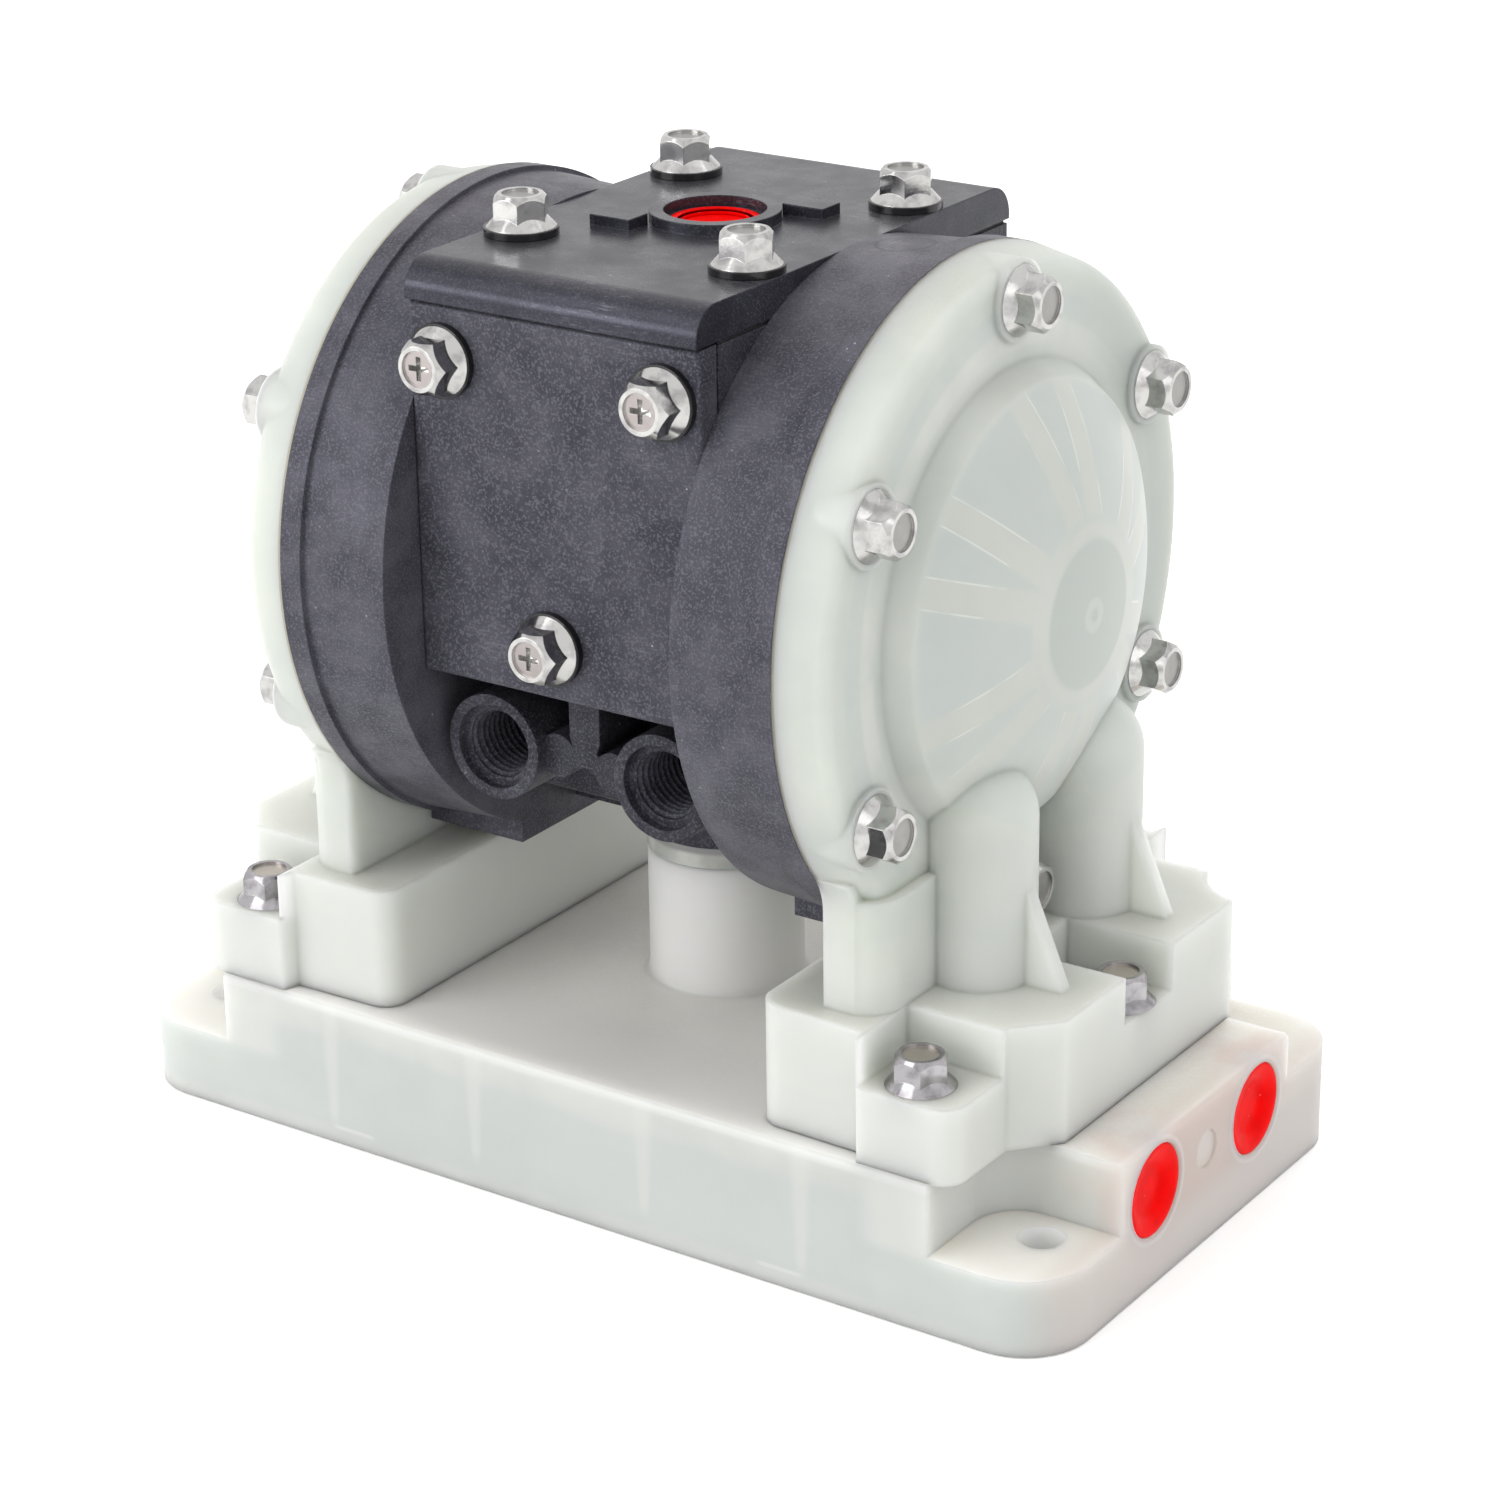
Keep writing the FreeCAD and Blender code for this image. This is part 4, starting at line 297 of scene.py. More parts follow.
outer_face = step_up(tree, along, RIM_FACE, RIM_FACE + 0.4 * MM)
shows = add(tree, "MapRange", {0: z, 1: 68 * MM, 2: 95 * MM, 3: 0.25, 4: 1.0})
in_crown = times(tree, band(tree, radius, CROWN_MIDDLE, CROWN_HALF, 1.2 * MM), outer_face, shows)
window = times(tree, in_crown, step_up(tree, off_rib, 1.9 * MM, 3.3 * MM))
rib = times(tree, in_crown, step_up(tree, off_rib, 2.9 * MM, 1.4 * MM))
colour = tint(tree, colour, "#c4ccca", times(tree, window, 0.55))
colour = tint(tree, colour, "#d2d4c8", times(tree, rib, 0.3))
patchy = add(tree, "TexNoise", {"Vector": place, "Scale": 1 / (11 * MM), "Detail": 3.0})
# Painted highlight: thin bright lines along the crown's rib edges, broken up by a patchy noise.
rib_edge_highlight = times(tree, in_crown, band(tree, off_rib, RIB_HALF, 0.04 * MM, 0.2 * MM), step_up(tree, patchy, 0.46, 0.6))
colour = tint(tree, colour, "#eef1ec", times(tree, rib_edge_highlight, 0.6))
hub = times(tree, step_up(tree, radius, HUB_EDGE, HUB_EDGE - MM), outer_face)
colour = tint(tree, colour, "#bcc3be", times(tree, hub, 0.8))
hub_rim = times(tree, band(tree, radius, HUB_RIM, 0.3 * MM, 1.0 * MM), outer_face, shows)
colour = tint(tree, colour, "#d4d6cc", times(tree, hub_rim, 0.3))
gate = times(tree, band(tree, radius, GATE_RING, 0.5 * MM, 0.7 * MM), outer_face)
colour = tint(tree, colour, "#d8dbd2", times(tree, gate, 0.4))
on_rim = times(tree, step_up(tree, along, RIM_FACE - 4 * MM, RIM_FACE),
               step_up(tree, along, RIM_FACE + 3.5 * MM, RIM_FACE + 2.5 * MM),
               step_up(tree, z, LEGS_TO, LEGS_TO + 5 * MM))
bead_ring = times(tree, band(tree, radius, BEAD_SHADE, 1.2 * MM, 1.4 * MM), on_rim, step_up(tree, patchy, 0.3, 0.6))
colour = tint(tree, colour, "#c0c8c7", times(tree, bead_ring, 0.45))
bead_light = times(tree, band(tree, radius, BEAD_LIGHT, 1.2 * MM, 1.2 * MM), on_rim, step_up(tree, patchy, 0.65, 0.4))
colour = tint(tree, colour, "#dfe1da", times(tree, bead_light, 0.4))
foot_pale = add(tree, "MapRange", {0: z, 1: LEGS_TO, 2: 44 * MM, 3: 0.0, 4: 0.6})
colour = tint(tree, colour, "#dddeda", foot_pale)
joint_line = times(tree, band(tree, along, JOINT, 0.2 * MM, 0.2 * MM),
                   step_up(tree, radius, RIM_RADIUS, RIM_RADIUS + 0.6 * MM), step_up(tree, z, 66 * MM, 68 * MM))
colour = tint(tree, colour, "#b9ae90", times(tree, joint_line, 0.7))
# Painted shade: the back of the rim, towards +y, is drawn darker grey.
shaded_back_rim = times(tree, step_up(tree, y, 8 * MM, 34 * MM), step_up(tree, radius, 36 * MM, 42 * MM),
                 step_up(tree, z, LEGS_TO, LEGS_TO + 8 * MM), 0.6)
colour = tint(tree, colour, "#b4bab5", shaded_back_rim)
colour = dust(tree, place, colour, 0.3)
soft_skin(tree, shader, place, colour, 1.5 * MM, 1.1 * MM, 0.014 * MM)
dress(natural_chamber, "outer_chamber_right", "outer_chamber_left")


# Ball valves: seats and cages of white engineering plastic, balls ground smooth, and round rubber seals.
# They are pressed into the columns and can only be seen with the chamber off.

valve_plastic, tree, shader, place = finish_for("acetal valve parts", 0.35, IOR=1.48)
drift = add(tree, "TexNoise", {"Vector": place, "Scale": 1 / (4 * MM), "Detail": 2.0})
soft_skin(tree, shader, place, tint(tree, "#e9e8e2", "#f4f3ef", drift), 0.2 * MM, 0.4 * MM, 0.005 * MM)
dress(valve_plastic, "suction_seat_right", "suction_seat_left", "discharge_seat_right", "discharge_seat_left",
      "suction_cage_right", "suction_cage_left", "discharge_cage_right", "discharge_cage_left")

valve_ball, tree, shader, place = finish_for("ground fluoroplastic ball", 0.28, IOR=1.38)
lapping = add(tree, "TexNoise", {"Vector": place, "Scale": 1 / (0.6 * MM), "Detail": 3.0})
soft_skin(tree, shader, place, tint(tree, "#f3f2ec", "#e2e0d8", lapping), 0.1 * MM, 0.3 * MM, 0.004 * MM)
dress(valve_ball, "suction_ball_right", "suction_ball_left", "discharge_ball_right", "discharge_ball_left")

seal_rubber, tree, shader, place = finish_for("nitrile rubber", 0.6, IOR=1.52)
bloom = add(tree, "TexNoise", {"Vector": place, "Scale": 1 / (3 * MM), "Detail": 4.0})
soft_skin(tree, shader, place, tint(tree, "#1b1b1c", "#2f2f31", bloom), 0.1 * MM, 0.5 * MM, 0.01 * MM)
dress(seal_rubber, "manifold_seals", "shaft_seals", "spool_seals", "top_cover_gasket", "front_cover_gasket")


# Discharge springs: stainless wire wound to close ends, under each discharge ball.
# In the pump they shorten by 3 mm when the ball drops off its seat; here they are drawn at one length.

VALVE_X, SPRING_FOOT, SPRING_TOP = 59 * MM, 22.9 * MM, 33.75 * MM
WIRE, COIL, TURNS, SHORTENED = 0.32 * MM, 3.05 * MM, 8, 0.724


def skin(name, rings, body, material, capped=True):
    """A mesh from rings of points, each closed on itself: faces join point i of a ring to point i + 1 of the next.

    Each end is closed by a fan, by one face where capped is "flat", or left open. Without a body it rides none yet.
    """
    count, around = rings.shape[:2]
    first = (np.arange(count - 1)[:, None] * around + np.arange(around)).ravel()
    nearby = (np.arange(count - 1)[:, None] * around + (np.arange(around) + 1) % around).ravel()
    quads = np.stack([first, nearby, nearby + around, first + around], 1)
    points = rings.reshape(-1, 3)
    faces = quads.tolist()
    if capped == "flat":
        faces = faces + [list(range(around))[::-1], list(range((count - 1) * around, count * around))]
    elif capped:
        points = np.vstack([points, rings[0].mean(0), rings[-1].mean(0)])
        edge = np.arange(around)
        following = (edge + 1) % around
        low = np.stack([following, edge, np.full(around, count * around)], 1)
        high = (count - 1) * around
        top = np.stack([edge + high, following + high, np.full(around, count * around + 1)], 1)
        faces = faces + low.tolist() + top.tolist()
    mesh = bpy.data.meshes.new(name)
    mesh.from_pydata(points, [], faces)
    mesh.polygons.foreach_set("use_smooth", np.ones(len(faces), bool))
    mesh.set_sharp_from_angle(angle=math.radians(50))
    mesh.materials.append(material)
    piece = bpy.data.objects.new(name, mesh)
    bpy.context.scene.collection.objects.link(piece)
    if body:
        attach(piece, body)
    return piece


def wound_wire(side):
    """A tube of the wire's radius along a helix: its height rises slowly in the first and last turn."""
    t = np.linspace(0, 1, 361)
    lead = np.clip((t - 0.1) / 0.8, 0, 1)
    rise = 0.12 * t + 0.88 * lead
    angle = 2 * np.pi * TURNS * t
    outward = np.stack([np.cos(angle), np.sin(angle), 0 * angle], 1)
    height = SPRING_FOOT + WIRE + (SPRING_TOP - SPRING_FOOT - 2 * WIRE) * rise
    path = outward * COIL + np.stack([0 * t + side * VALVE_X, 0 * t + PORT_Y, height], 1)
    forward = np.gradient(path, axis=0)
    forward /= np.linalg.norm(forward, axis=1)[:, None]
    across = np.cross(forward, outward)
    turn = np.linspace(0, 2 * np.pi, 10, endpoint=False)
    return path[:, None] + WIRE * (np.cos(turn)[:, None] * outward[:, None] + np.sin(turn)[:, None] * across[:, None])


spring_steel, tree, shader, place = finish_for("stainless spring wire", 0.3, Metallic=1.0)
drawn = add(tree, "TexNoise", {"Vector": place, "Scale": 1 / (0.5 * MM), "Detail": 3.0})
tree.links.new(tint(tree, "#a9a8a5", "#c9c8c4", drawn), shader.inputs["Base Color"])
for side, word in ((1, "right"), (-1, "left")):
    spring = skin(f"discharge_spring_wire_{word}", wound_wire(side), "housing", spring_steel)
    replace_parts(spring, f"discharge_spring_{word}")
    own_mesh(spring)


# Black mouldings: glass filled polypropylene in charcoal. Short fibres lie at the surface as pale flecks,
# and handling leaves cloudy satin patches. Air chambers are rings with a flat foot, and the right one
# has a round mark of the mould on top.

MARK_PLACE, MARK_RADIUS = (34.5 * MM, 0.9 * MM, 154.4 * MM), 4.6 * MM


def charcoal(name, gloss, shades, mirror=0.3, pebbly=0.75):
    """Glass filled polypropylene: cloudy dark grey with a fine pebble grain, scuffs 3 mm long and a few specks.

    Real fibres are 0.02 mm thick, and are drawn 0.2 mm wide so that they show.
    """
    material, tree, shader, place = finish_for(name, gloss, IOR=1.46, Specular_IOR_Level=mirror,
                                               Specular_Tint=linear("#e2e4fb"))
    clouds = add(tree, "TexNoise", {"Vector": place, "Scale": 1 / (11 * MM), "Detail": 6.0, "Roughness": 0.62})
    colour = tint(tree, *shades, step_up(tree, clouds, 0.32, 0.7))
    pebbles = add(tree, "TexNoise", {"Vector": place, "Scale": 1 / (0.38 * MM), "Detail": 2.0})
    colour = tint(tree, colour, "#66656e", times(tree, step_up(tree, pebbles, 0.47, 0.68), pebbly))
    scuffed = step_up(tree, clouds, 0.48, 0.64)
    for angles, shade in (((0.3, 1.1, 0.2), "#6a696f"), ((1.0, 0.7, -0.9), "#5d5c63")):
        lay = add(tree, "Mapping", {0: place, 2: angles, 3: (0.1, 1.0, 1.0)})
        fibres = add(tree, "TexNoise", {"Vector": lay, "Scale": 1 / (0.3 * MM), "Detail": 1.0})
        colour = tint(tree, colour, shade, times(tree, step_up(tree, fibres, 0.62, 0.72), scuffed, 0.7))
    specks = add(tree, "TexVoronoi", {"Vector": place, "Scale": 1 / (2.6 * MM)})
    colour = tint(tree, colour, "#a9a8ad", times(tree, step_up(tree, specks, 0.08, 0.04), scuffed))
    rub = add(tree, "MapRange", {0: clouds, 1: 0.3, 2: 0.7, 3: gloss + 0.08, 4: gloss - 0.06})
    tree.links.new(rub, shader.inputs["Roughness"])
    return material, tree, shader, place, colour


black_ring, tree, shader, place, colour = charcoal("glass filled polypropylene ring", 0.4, ("#3c3b42", "#57565e"))
from_mark = add(tree, "VectorMath", {0: place, 1: MARK_PLACE}, operation="DISTANCE").node.outputs["Value"]
mark = band(tree, from_mark, MARK_RADIUS, 0.12 * MM, 0.3 * MM)
colour = tint(tree, colour, "#2a292d", times(tree, mark, 0.7))
colour = dust(tree, place, colour, 0.06)
soft_skin(tree, shader, place, colour, 0.4 * MM, 0.4 * MM, 0.09 * MM)
dress(black_ring, "air_chamber_right", "air_chamber_left")


# Centre body: the black block between the chambers, with a neck below and two threaded ports at the front.
# The ports are cut with quarter inch pipe thread, 19 to the inch.

# Painted shade: the body's shades and pebbles are darker than the rings' and covers', for the port block in shadow
# below the front cover.
black_body, tree, shader, place, colour = charcoal("glass filled polypropylene body", 0.42, ("#232227", "#39383e"),
                                                  pebbly=0.5)
soft_skin(tree, shader, place, colour, 0.35 * MM, 0.4 * MM, 0.055 * MM)
dress(black_body, "centre_body")

PITCH, THREAD_START, THREAD_END = 1.337 * MM, -38.7 * MM, -26.0 * MM
FRONT_PORT_X, FRONT_PORT_Z, THREAD_RADIUS, THREAD_DEPTH = 16.1 * MM, 75.1 * MM, 5.63 * MM, 0.75 * MM


def thread(side):
    """Rings round the port's axis: the radius dips by the depth in a flattened wave that winds one pitch a turn."""
    depth = np.linspace(THREAD_START, THREAD_END, 115)[:, None]
    angle = np.linspace(0, 2 * np.pi, 72, endpoint=False)[None]
    wave = np.abs(((depth / PITCH - angle / (2 * np.pi)) % 1) * 2 - 1)
    crest = np.clip(wave * 1.5 - 0.25, 0, 1)
    ends = np.clip((depth - THREAD_START) / PITCH, 0, 1) * np.clip((THREAD_END - depth) / PITCH, 0, 1)
    radius = THREAD_RADIUS - THREAD_DEPTH * crest * np.sqrt(ends)
    return np.stack([side * FRONT_PORT_X + radius * np.cos(angle), depth + 0 * angle,
                     FRONT_PORT_Z + radius * np.sin(angle)], 2)


for side, word in ((1, "right"), (-1, "left")):
    skin(f"front_port_thread_{word}", thread(side), "housing", black_body, capped=False)


# Covers: black moulded plates on thin gaskets. The top one carries the air inlet and two raised pads left bare,
# and it is darker and glossier all over than the front one.

for node, gloss, grain, shades, mirror, pebbly in (
        ("top_cover", 0.27, 0.012 * MM, ("#1c1c21", "#303037"), 0.5, 0.25),
        ("front_cover", 0.4, 0.05 * MM, ("#34333a", "#4d4c54"), 0.3, 0.75)):
    black_cover, tree, shader, place, colour = charcoal("glass filled polypropylene " + node, gloss, shades, mirror,
                                                        pebbly)
    colour = dust(tree, place, colour, 0.04)
    soft_skin(tree, shader, place, colour, 0.35 * MM, 0.35 * MM, grain)
    dress(black_cover, node)


# Bolts: zinc plated steel with flanged hexagon heads. The heads are bright, but dull in their dishes, where the
# plating stays thin, and a dish is found by the place of its floor. Washers under the cover bolts are black and glossy.

CHAMBER_DISH, TOP_DISH, FRONT_DISH = [60.3 * MM], [159.5 * MM], [49.5 * MM]
BASE_DISHES = [42.8 * MM, 39.3 * MM]


def zinc_plate(name, axis, floors, dish_shades=("#93918f", "#aaa8a6"), shades=("#c9c8c6", "#a3a1a1")):
    """Bright plating with a dull dish: faces square to the axis at one of the dish floors are greyer and rougher."""
    material, tree, shader, place = finish_for(name, 0.2, Metallic=1.0)
    patches = add(tree, "TexNoise", {"Vector": place, "Scale": 1 / (2.5 * MM), "Detail": 4.0})
    scratches = add(tree, "Mapping", {0: place, 2: (0.4, 0.3, 0.2), 3: (1.0, 0.12, 1.0)})
    scratches = add(tree, "TexNoise", {"Vector": scratches, "Scale": 1 / (0.35 * MM), "Detail": 3.0})
    colour = tint(tree, *shades, step_up(tree, patches, 0.4, 0.75))
    height = add(tree, "SeparateXYZ", {0: place}).node.outputs[axis]
    height = add(tree, "Math", {0: height}, operation="ABSOLUTE")
    dish = band(tree, height, floors[0], 0.15 * MM, 0.05 * MM)
    for floor in floors[1:]:
        dish = add(tree, "Math", {0: dish, 1: band(tree, height, floor, 0.15 * MM, 0.05 * MM)}, operation="MAXIMUM")
    facing = add(tree, "NewGeometry").node.outputs["Normal"]
    facing = add(tree, "SeparateXYZ", {0: facing}).node.outputs[axis]
    facing = add(tree, "Math", {0: facing}, operation="ABSOLUTE")
    dish = times(tree, dish, step_up(tree, facing, 0.95, 0.99))
    grey = tint(tree, *dish_shades, patches)
    colour = tint(tree, colour, grey, dish)
    rough = add(tree, "MapRange", {0: scratches, 1: 0.3, 2: 0.8, 3: 0.1, 4: 0.22})
    rough = add(tree, "Mix", {0: dish, 2: rough, 3: 0.38})
    tree.links.new(rough, shader.inputs["Roughness"])
    soft_skin(tree, shader, place, colour, 0.16 * MM, 0.5 * MM, 0.006 * MM)
    return material


dress(zinc_plate("zinc plated chamber bolts", 0, CHAMBER_DISH), "chamber_bolts_right", "chamber_bolts_left")
dress(zinc_plate("zinc plated base bolts", 2, BASE_DISHES, ("#b3aba2", "#c6beb5"), ("#b4b1b4", "#8b888c")),
      "base_bolts")
dress(zinc_plate("zinc plated top bolts", 2, TOP_DISH), "top_cover_bolts")
dress(zinc_plate("zinc plated front bolts", 1, FRONT_DISH, ("#a8a09e", "#bbb4b2")), "front_cover_bolts")

black_washer, tree, shader, place = finish_for("black oxide washer", 0.2, IOR=1.5)
oxide = add(tree, "TexNoise", {"Vector": place, "Scale": 1 / (2 * MM), "Detail": 3.0})
soft_skin(tree, shader, place, tint(tree, "#0e0e0f", "#1d1d1f", oxide), 0.3 * MM, 0.6 * MM, 0.01 * MM)
dress(black_washer, "top_cover_washers", "front_cover_washers")


# Shaft group: a ground steel shaft with turned aluminium discs on the air side and plastic faced discs on the
# fluid side. The black rubber diaphragms are clamped at their bead and bend with the shaft in the pump; each is
# drawn as twelve wedges that meet edge to edge, fixed in place.

def turned_marks(tree, place, spacing):
    """Rings round the shaft's axis: a fine wave of the distance from it."""
    split = add(tree, "SeparateXYZ", {0: place}).node
    lift = add(tree, "Math", {0: split.outputs[2], 1: SHAFT_HEIGHT}, operation="SUBTRACT")
    away = add(tree, "CombineXYZ", {0: split.outputs[1], 1: lift})
    away = add(tree, "VectorMath", {0: away}, operation="LENGTH").node.outputs["Value"]
    wave = add(tree, "Math", {0: away, 1: 2 * math.pi / spacing}, operation="MULTIPLY")
    return add(tree, "Math", {0: wave}, operation="SINE")


ground_steel, tree, shader, place = finish_for("ground stainless shaft", 0.18, Metallic=1.0)
marks = add(tree, "Mapping", {0: place, 3: (1.0, 0.05, 0.05)})
marks = add(tree, "TexNoise", {"Vector": marks, "Scale": 1 / (0.3 * MM), "Detail": 2.0})
soft_skin(tree, shader, place, tint(tree, "#b9b9ba", "#d2d2d0", marks), 0.2 * MM, 0.3 * MM, 0.003 * MM)
dress(ground_steel, "diaphragm_shaft")

turned_aluminium, tree, shader, place = finish_for("turned aluminium disc", 0.32, Metallic=1.0)
rings = turned_marks(tree, place, 0.5 * MM)
bump = add(tree, "Bump", {"Distance": 0.01 * MM, "Height": rings})
tree.links.new(bump, shader.inputs["Normal"])
tree.links.new(tint(tree, "#bdbfc1", "#d3d4d5", step_up(tree, rings, -1.0, 1.0)), shader.inputs["Base Color"])
dress(turned_aluminium, "inner_disc_right", "inner_disc_left")

faced_disc, tree, shader, place = finish_for("moulded polypropylene disc", 0.4, IOR=1.49)
drift = add(tree, "TexNoise", {"Vector": place, "Scale": 1 / (6 * MM), "Detail": 3.0})
soft_skin(tree, shader, place, tint(tree, "#d3d5cc", "#e2e3dc", drift), 0.4 * MM, 0.6 * MM, 0.01 * MM)
dress(faced_disc, "outer_disc_right", "outer_disc_left")

diaphragm_rubber, tree, shader, place = finish_for("fabric backed rubber", 0.65, IOR=1.52)
weave = add(tree, "TexWave", {"Vector": place, "Scale": 0.5 / (1 * MM), "Distortion": 0.6}, bands_direction="Y")
weave_up = add(tree, "TexWave", {"Vector": place, "Scale": 0.5 / (1 * MM), "Distortion": 0.6}, bands_direction="Z")
cloth = add(tree, "Math", {0: weave, 1: weave_up}, operation="MAXIMUM")
bump = add(tree, "Bump", {"Distance": 0.03 * MM, "Height": cloth})
tree.links.new(bump, shader.inputs["Normal"])
tree.links.new(tint(tree, "#222224", "#343437", cloth), shader.inputs["Base Color"])

SHEET_PLANE, SHEET_HALF, SHEET_BORE = 46.2 * MM, 0.9 * MM, 3.03 * MM
ROLL_MIDDLE, ROLL_REACH, ROLL_BEND = 29.5 * MM, 7 * MM, 7.4 * MM
BEAD_IN, BEAD_OUT, BEAD_HALF = 39.05 * MM, 42.95 * MM, 1.35 * MM
DISC_EDGE, WEDGES = 21 * MM, 12
HALF_WEDGE = math.pi / WEDGES


def sheet_face(outside):
    """A face's radii and distances from the sheet's plane: flat, with a circle's arc over the roll, dipping inwards."""
    reach, bend = ROLL_REACH - outside * SHEET_HALF, ROLL_BEND - outside * SHEET_HALF
    arc = np.linspace(-reach, reach, 17)
    radius = np.concatenate([np.linspace(SHEET_BORE, ROLL_MIDDLE - reach, 6)[:-1], ROLL_MIDDLE + arc, [BEAD_IN]])
    away = np.clip(radius - ROLL_MIDDLE, -reach, reach)
    dip = np.sqrt(bend ** 2 - away ** 2) - np.sqrt(bend ** 2 - reach ** 2)
    return radius, outside * SHEET_HALF - dip


def diaphragm_wedge(side, middle):
    """Rings round one wedge's section: outside face, bead and inside face, turned from its one edge to the other."""
    outer, inner = sheet_face(1), sheet_face(-1)
    radius = np.concatenate([outer[0], [BEAD_IN, BEAD_OUT, BEAD_OUT, BEAD_IN], inner[0][::-1]])
    away = np.concatenate([outer[1], [BEAD_HALF, BEAD_HALF, -BEAD_HALF, -BEAD_HALF], inner[1][::-1]])
    turn = middle + side * np.linspace(-HALF_WEDGE, HALF_WEDGE, 7)[:, None]
    return np.stack([0 * turn + side * (SHEET_PLANE + away), radius * np.cos(turn),
                     SHAFT_HEIGHT + radius * np.sin(turn)], 2)


for side, word in ((1, "right"), (-1, "left")):
    for count in range(WEDGES):
        middle = 2 * HALF_WEDGE * count
        wedge = skin(f"diaphragm_{word}_wedge_{count + 1}", diaphragm_wedge(side, middle), None,
                     diaphragm_rubber, capped="flat")
        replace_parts(wedge, f"diaphragm_{word}")
        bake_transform(wedge)

bush_plastic, tree, shader, place = finish_for("filled acetal bush", 0.45, IOR=1.48)
flow = add(tree, "TexNoise", {"Vector": place, "Scale": 1 / (2 * MM), "Detail": 4.0})
soft_skin(tree, shader, place, tint(tree, "#5b5a52", "#6f6e65", flow), 0.2 * MM, 0.4 * MM, 0.006 * MM)
dress(bush_plastic, "shaft_bushes")


# Air valve: an anodised sleeve with ports, and a white acetal spool that carries four seals.

sleeve_metal, tree, shader, place = finish_for("anodised aluminium sleeve", 0.35, Metallic=1.0)
oxide = add(tree, "TexNoise", {"Vector": place, "Scale": 1 / (1 * MM), "Detail": 4.0})
soft_skin(tree, shader, place, tint(tree, "#9c9ea1", "#b4b6b8", oxide), 0.2 * MM, 0.4 * MM, 0.004 * MM)
dress(sleeve_metal, "valve_sleeve")
dress(valve_plastic, "valve_spool")


# Transport plugs: soft red polyethylene, a stem pressed into each port and a round flange dished by the finger
# that pushed it in. The air inlet's plug is thinner and sits low in its recess. The red is deep and hardly mirrors.

PLUG_STEM, PLUG_FLANGE = 5.6 * MM, 1.4 * MM
SIDE_PLUG, INLET_PLUG = 7.65 * MM, 7.3 * MM
SIDE_FLOOR, INLET_FLOOR = 3.7 * MM, 5.1 * MM

red_plug, tree, shader, place = finish_for("soft red polyethylene", 0.4, IOR=1.4, Subsurface_Weight=0.1,
                                           Subsurface_Scale=1.5 * MM, Specular_IOR_Level=0.07)
shader.inputs["Subsurface Radius"].default_value = (1.0, 0.1, 0.1)
flow = add(tree, "TexNoise", {"Vector": place, "Scale": 1 / (4 * MM), "Detail": 3.0})
colour = tint(tree, "#fb0201", "#ec0201", step_up(tree, flow, 0.35, 0.7))
# Painted highlights: small pale specks on the red, standing in for glints.
painted_glints = add(tree, "TexVoronoi", {"Vector": place, "Scale": 1 / (2.2 * MM)})
colour = tint(tree, colour, "#ff7d72", times(tree, step_up(tree, painted_glints, 0.1, 0.05), 0.6))
soft_skin(tree, shader, place, colour, 0.3 * MM, 0.8 * MM, 0.015 * MM)


def plug_rings(node, axis, radius, lowered, floor):
    """Rings round the plug's axis: each row of the profile is a depth below the face and a distance from the axis."""
    low, high = (np.array(corner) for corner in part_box(node))
    middle = (low + high) / 2
    length, seat = high[axis] - low[axis] - lowered, PLUG_FLANGE - lowered
    profile = np.array([
        (length, 0.3 * MM), (length, PLUG_STEM - MM), (length - MM, PLUG_STEM), (seat, PLUG_STEM),
        (seat, radius - 0.1 * MM), (seat - 0.1 * MM, radius), (0.25 * MM, radius), (0.08 * MM, radius - 0.1 * MM),
        (0, radius - 0.3 * MM), (0, radius - 0.9 * MM), (0.1 * MM, radius - 1.3 * MM), (0.5 * MM, floor + 1.1 * MM),
        (1.0 * MM, floor + 0.4 * MM), (1.25 * MM, floor), (1.4 * MM, floor - MM), (1.3 * MM, 0.3 * MM)])
    turn = np.linspace(0, 2 * np.pi, 72, endpoint=False)
    first, second = (axis + 1) % 3, (axis + 2) % 3
    rings = np.empty((len(profile), len(turn), 3))
    rings[..., axis] = high[axis] - lowered - profile[:, :1]
    rings[..., first] = middle[first] + profile[:, 1:] * np.cos(turn)
    rings[..., second] = middle[second] + profile[:, 1:] * np.sin(turn)
    return rings


for node, axis, radius, lowered, floor in (
        ("suction_plug", 0, SIDE_PLUG, 0, SIDE_FLOOR), ("discharge_plug", 0, SIDE_PLUG, 0, SIDE_FLOOR),
        ("air_inlet_plug", 2, INLET_PLUG, MM, INLET_FLOOR)):
    rings = plug_rings(node, axis, radius, lowered, floor)
    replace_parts(skin(f"{node}_dish", rings, node, red_plug), node)


# Floor and light: a pale floor that runs to the horizon and keeps the pump's shadow, a surround with a dimmer
# ceiling, and five soft boxes. Surround and floor glow white only where they are looked at or mirrored, and two
# dark cards are seen by reflections alone, so the bolt heads get dark sides.

FLOOR_REACH, FLOOR_DROP, CARD_LIFT = 8, 0.2 * MM, 1 * MM
HORIZON, OVERHEAD = 0.89, 0.82


def flat_sheet(name, left, right, near, far, height):
    """A level rectangle at a height."""
    mesh = bpy.data.meshes.new(name)
    mesh.from_pydata([(left, near, height), (right, near, height), (right, far, height), (left, far, height)],
                     [], [(0, 1, 2, 3)])
    sheet = bpy.data.objects.new(name, mesh)
    bpy.context.scene.collection.objects.link(sheet)
    return sheet


def looked_at(tree):
    """1 for rays from the camera, from a mirroring surface or through a clear one."""
    rays = add(tree, "LightPath").node.outputs
    seen = add(tree, "Math", {0: rays["Is Camera Ray"], 1: rays["Is Glossy Ray"]}, operation="MAXIMUM")
    return add(tree, "Math", {0: seen, 1: rays["Is Transmission Ray"]}, operation="MAXIMUM")


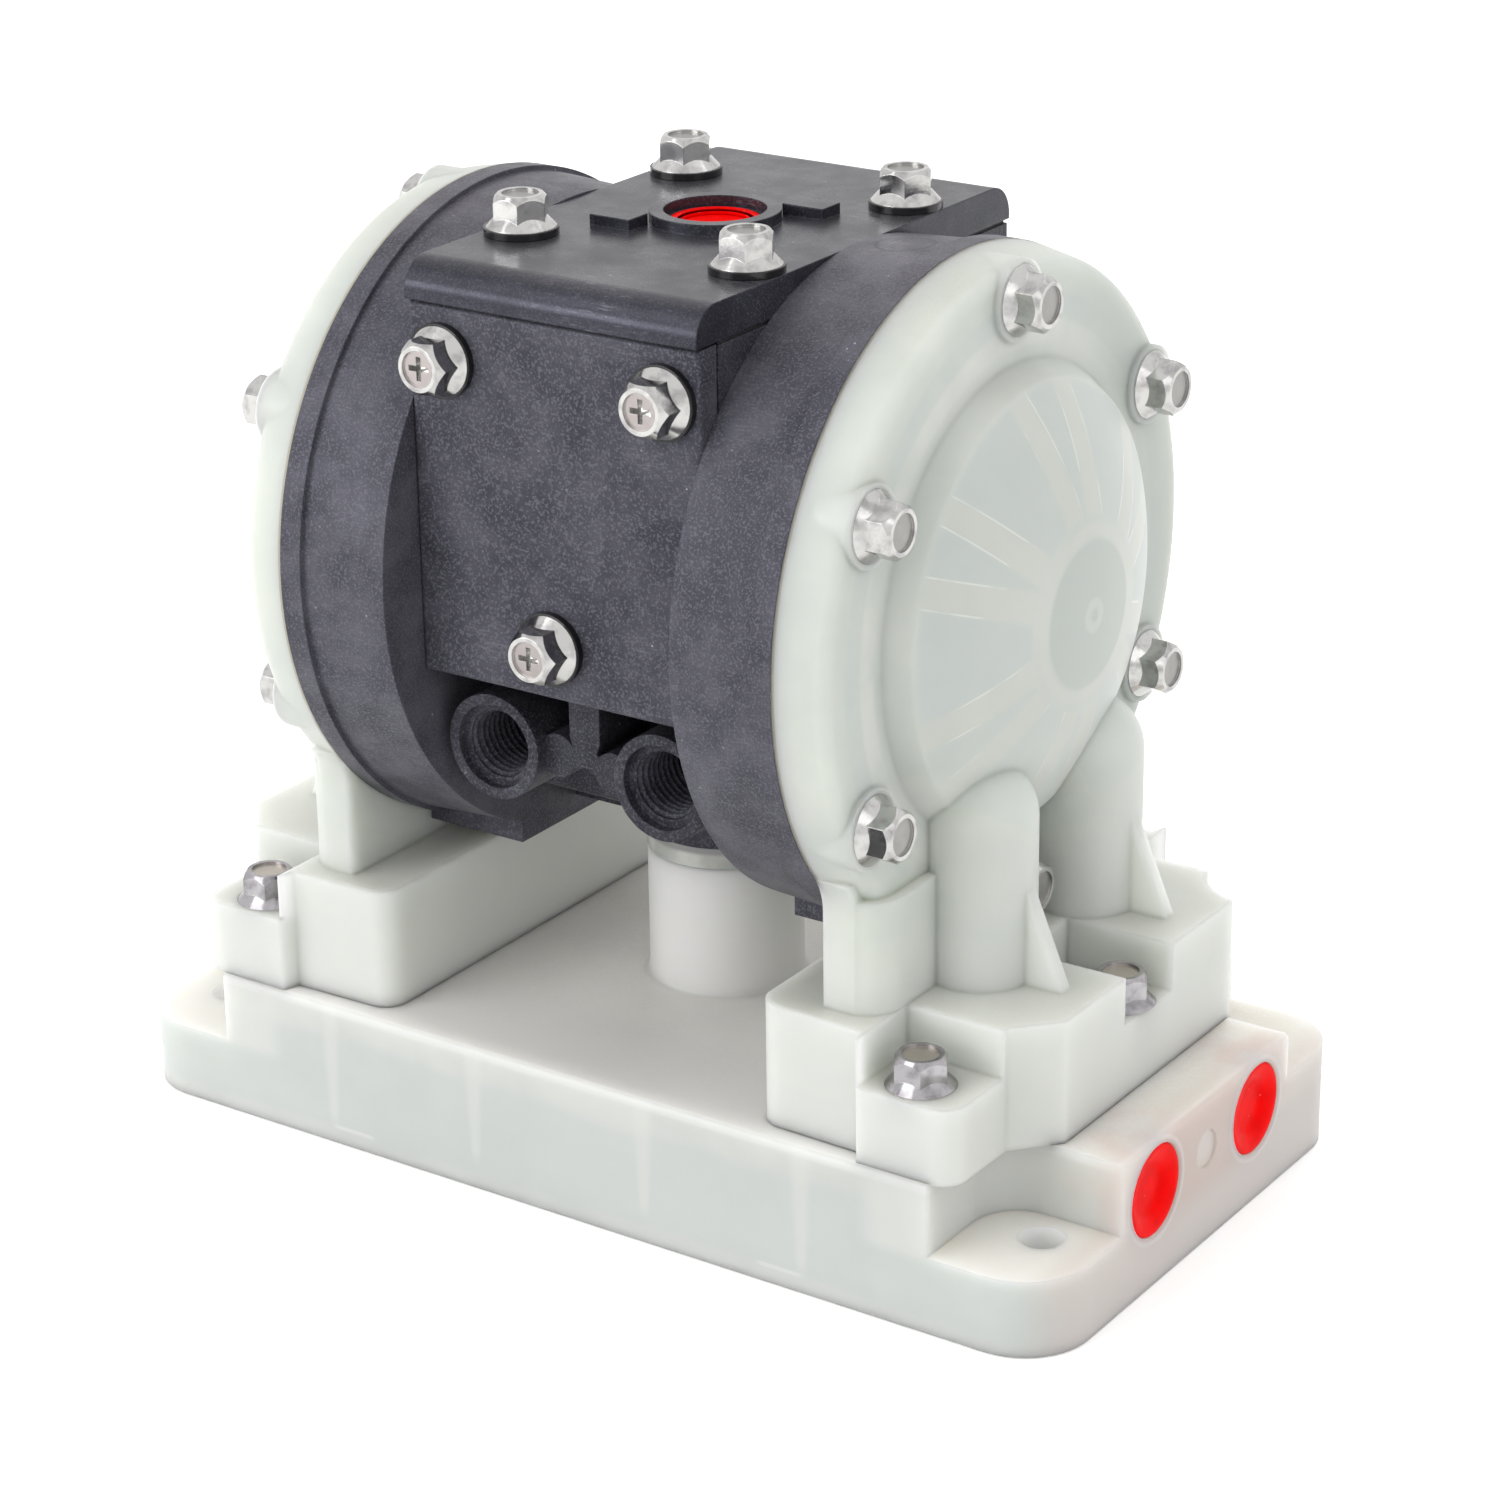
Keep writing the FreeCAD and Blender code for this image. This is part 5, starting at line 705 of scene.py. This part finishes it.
floor = flat_sheet("floor", -FLOOR_REACH, FLOOR_REACH, -FLOOR_REACH, FLOOR_REACH, -FLOOR_DROP)
painted_floor, tree, shader, place = finish_for("painted studio floor", 0.9)
soft_grain = add(tree, "TexNoise", {"Vector": place, "Scale": 3.0, "Detail": 2.0})
tree.links.new(tint(tree, "#efefee", "#f4f4f3", soft_grain), shader.inputs["Base Color"])
shader.inputs["Specular IOR Level"].default_value = 0.0
shader.inputs["Emission Color"].default_value = (1.0, 1.0, 1.0, 1.0)
tree.links.new(times(tree, looked_at(tree), 0.3), shader.inputs["Emission Strength"])
floor.data.materials.append(painted_floor)

dark_card, tree, shader, place = finish_for("dark paper card", 1.0)
paper = add(tree, "TexNoise", {"Vector": place, "Scale": 30.0, "Detail": 2.0})
tree.links.new(tint(tree, "#39393b", "#454547", paper), shader.inputs["Base Color"])
for name, sides in (("front card", (-0.1, 0.0, -0.6, -0.14)), ("left card", (-0.6, -0.28, -0.26, -0.06))):
    card = flat_sheet(name, *sides, CARD_LIFT)
    card.data.materials.append(dark_card)
    card.visible_camera = card.visible_diffuse = card.visible_shadow = card.visible_transmission = False

world = bpy.data.worlds.new("white studio")
world.use_nodes = True
bpy.context.scene.world = world
tree = world.node_tree
background = tree.nodes["Background"]
background.inputs["Color"].default_value = (1.0, 1.0, 1.0, 1.0)
height = add(tree, "SeparateXYZ", {0: add(tree, "TexCoord").node.outputs["Generated"]}).node.outputs["Z"]
ceiling = add(tree, "MapRange", {0: height, 1: 0.0, 2: 1.0, 3: HORIZON, 4: OVERHEAD})
tree.links.new(add(tree, "Mix", {0: looked_at(tree), 2: ceiling, 3: 1.0}), background.inputs["Strength"])


def soft_box(name, place, width, height, power, mirrored=True):
    """A rectangular soft lamp at a place, turned to face the pump's middle, with or without a mirror image."""
    lamp = bpy.data.lights.new(name, "AREA")
    lamp.shape = "RECTANGLE"
    lamp.size, lamp.size_y, lamp.energy = width, height, power
    holder = bpy.data.objects.new(name, lamp)
    bpy.context.scene.collection.objects.link(holder)
    holder.location = place
    holder.visible_glossy = mirrored
    away = holder.location - Vector((0, 0, 0.08))
    holder.rotation_euler = away.to_track_quat("Z", "Y").to_euler()


soft_box("key light", (-0.55, -0.95, 1.15), 0.9, 0.7, 3.5)
soft_box("low front light", (-0.65, -1.05, 0.44), 0.9, 0.28, 4.6)
soft_box("side light", (1.25, -0.35, 0.65), 0.6, 0.9, 1.3)
soft_box("top light", (0.1, 0.5, 1.3), 1.0, 0.6, 1.5)
soft_box("low back light", (-0.42, 1.15, 0.58), 0.9, 0.4, 6, mirrored=False)


# Camera: long lens from the front right, looking slightly down, solved from edges and bolt circles.

lens = bpy.data.cameras.new("camera")
lens.lens = 97.97
lens.sensor_width = 36.0
camera = bpy.data.objects.new("camera", lens)
bpy.context.scene.collection.objects.link(camera)
camera.matrix_world = Matrix((
    (0.82712469, -0.20053577, 0.52502396, 0.35555),
    (0.56185801, 0.31736528, -0.7639338, -0.50992),
    (-0.01342832, 0.92685743, 0.37517328, 0.31569),
    (0.0, 0.0, 0.0, 1.0),
))
bpy.context.scene.camera = camera
bpy.context.scene.view_settings.view_transform = "Standard"
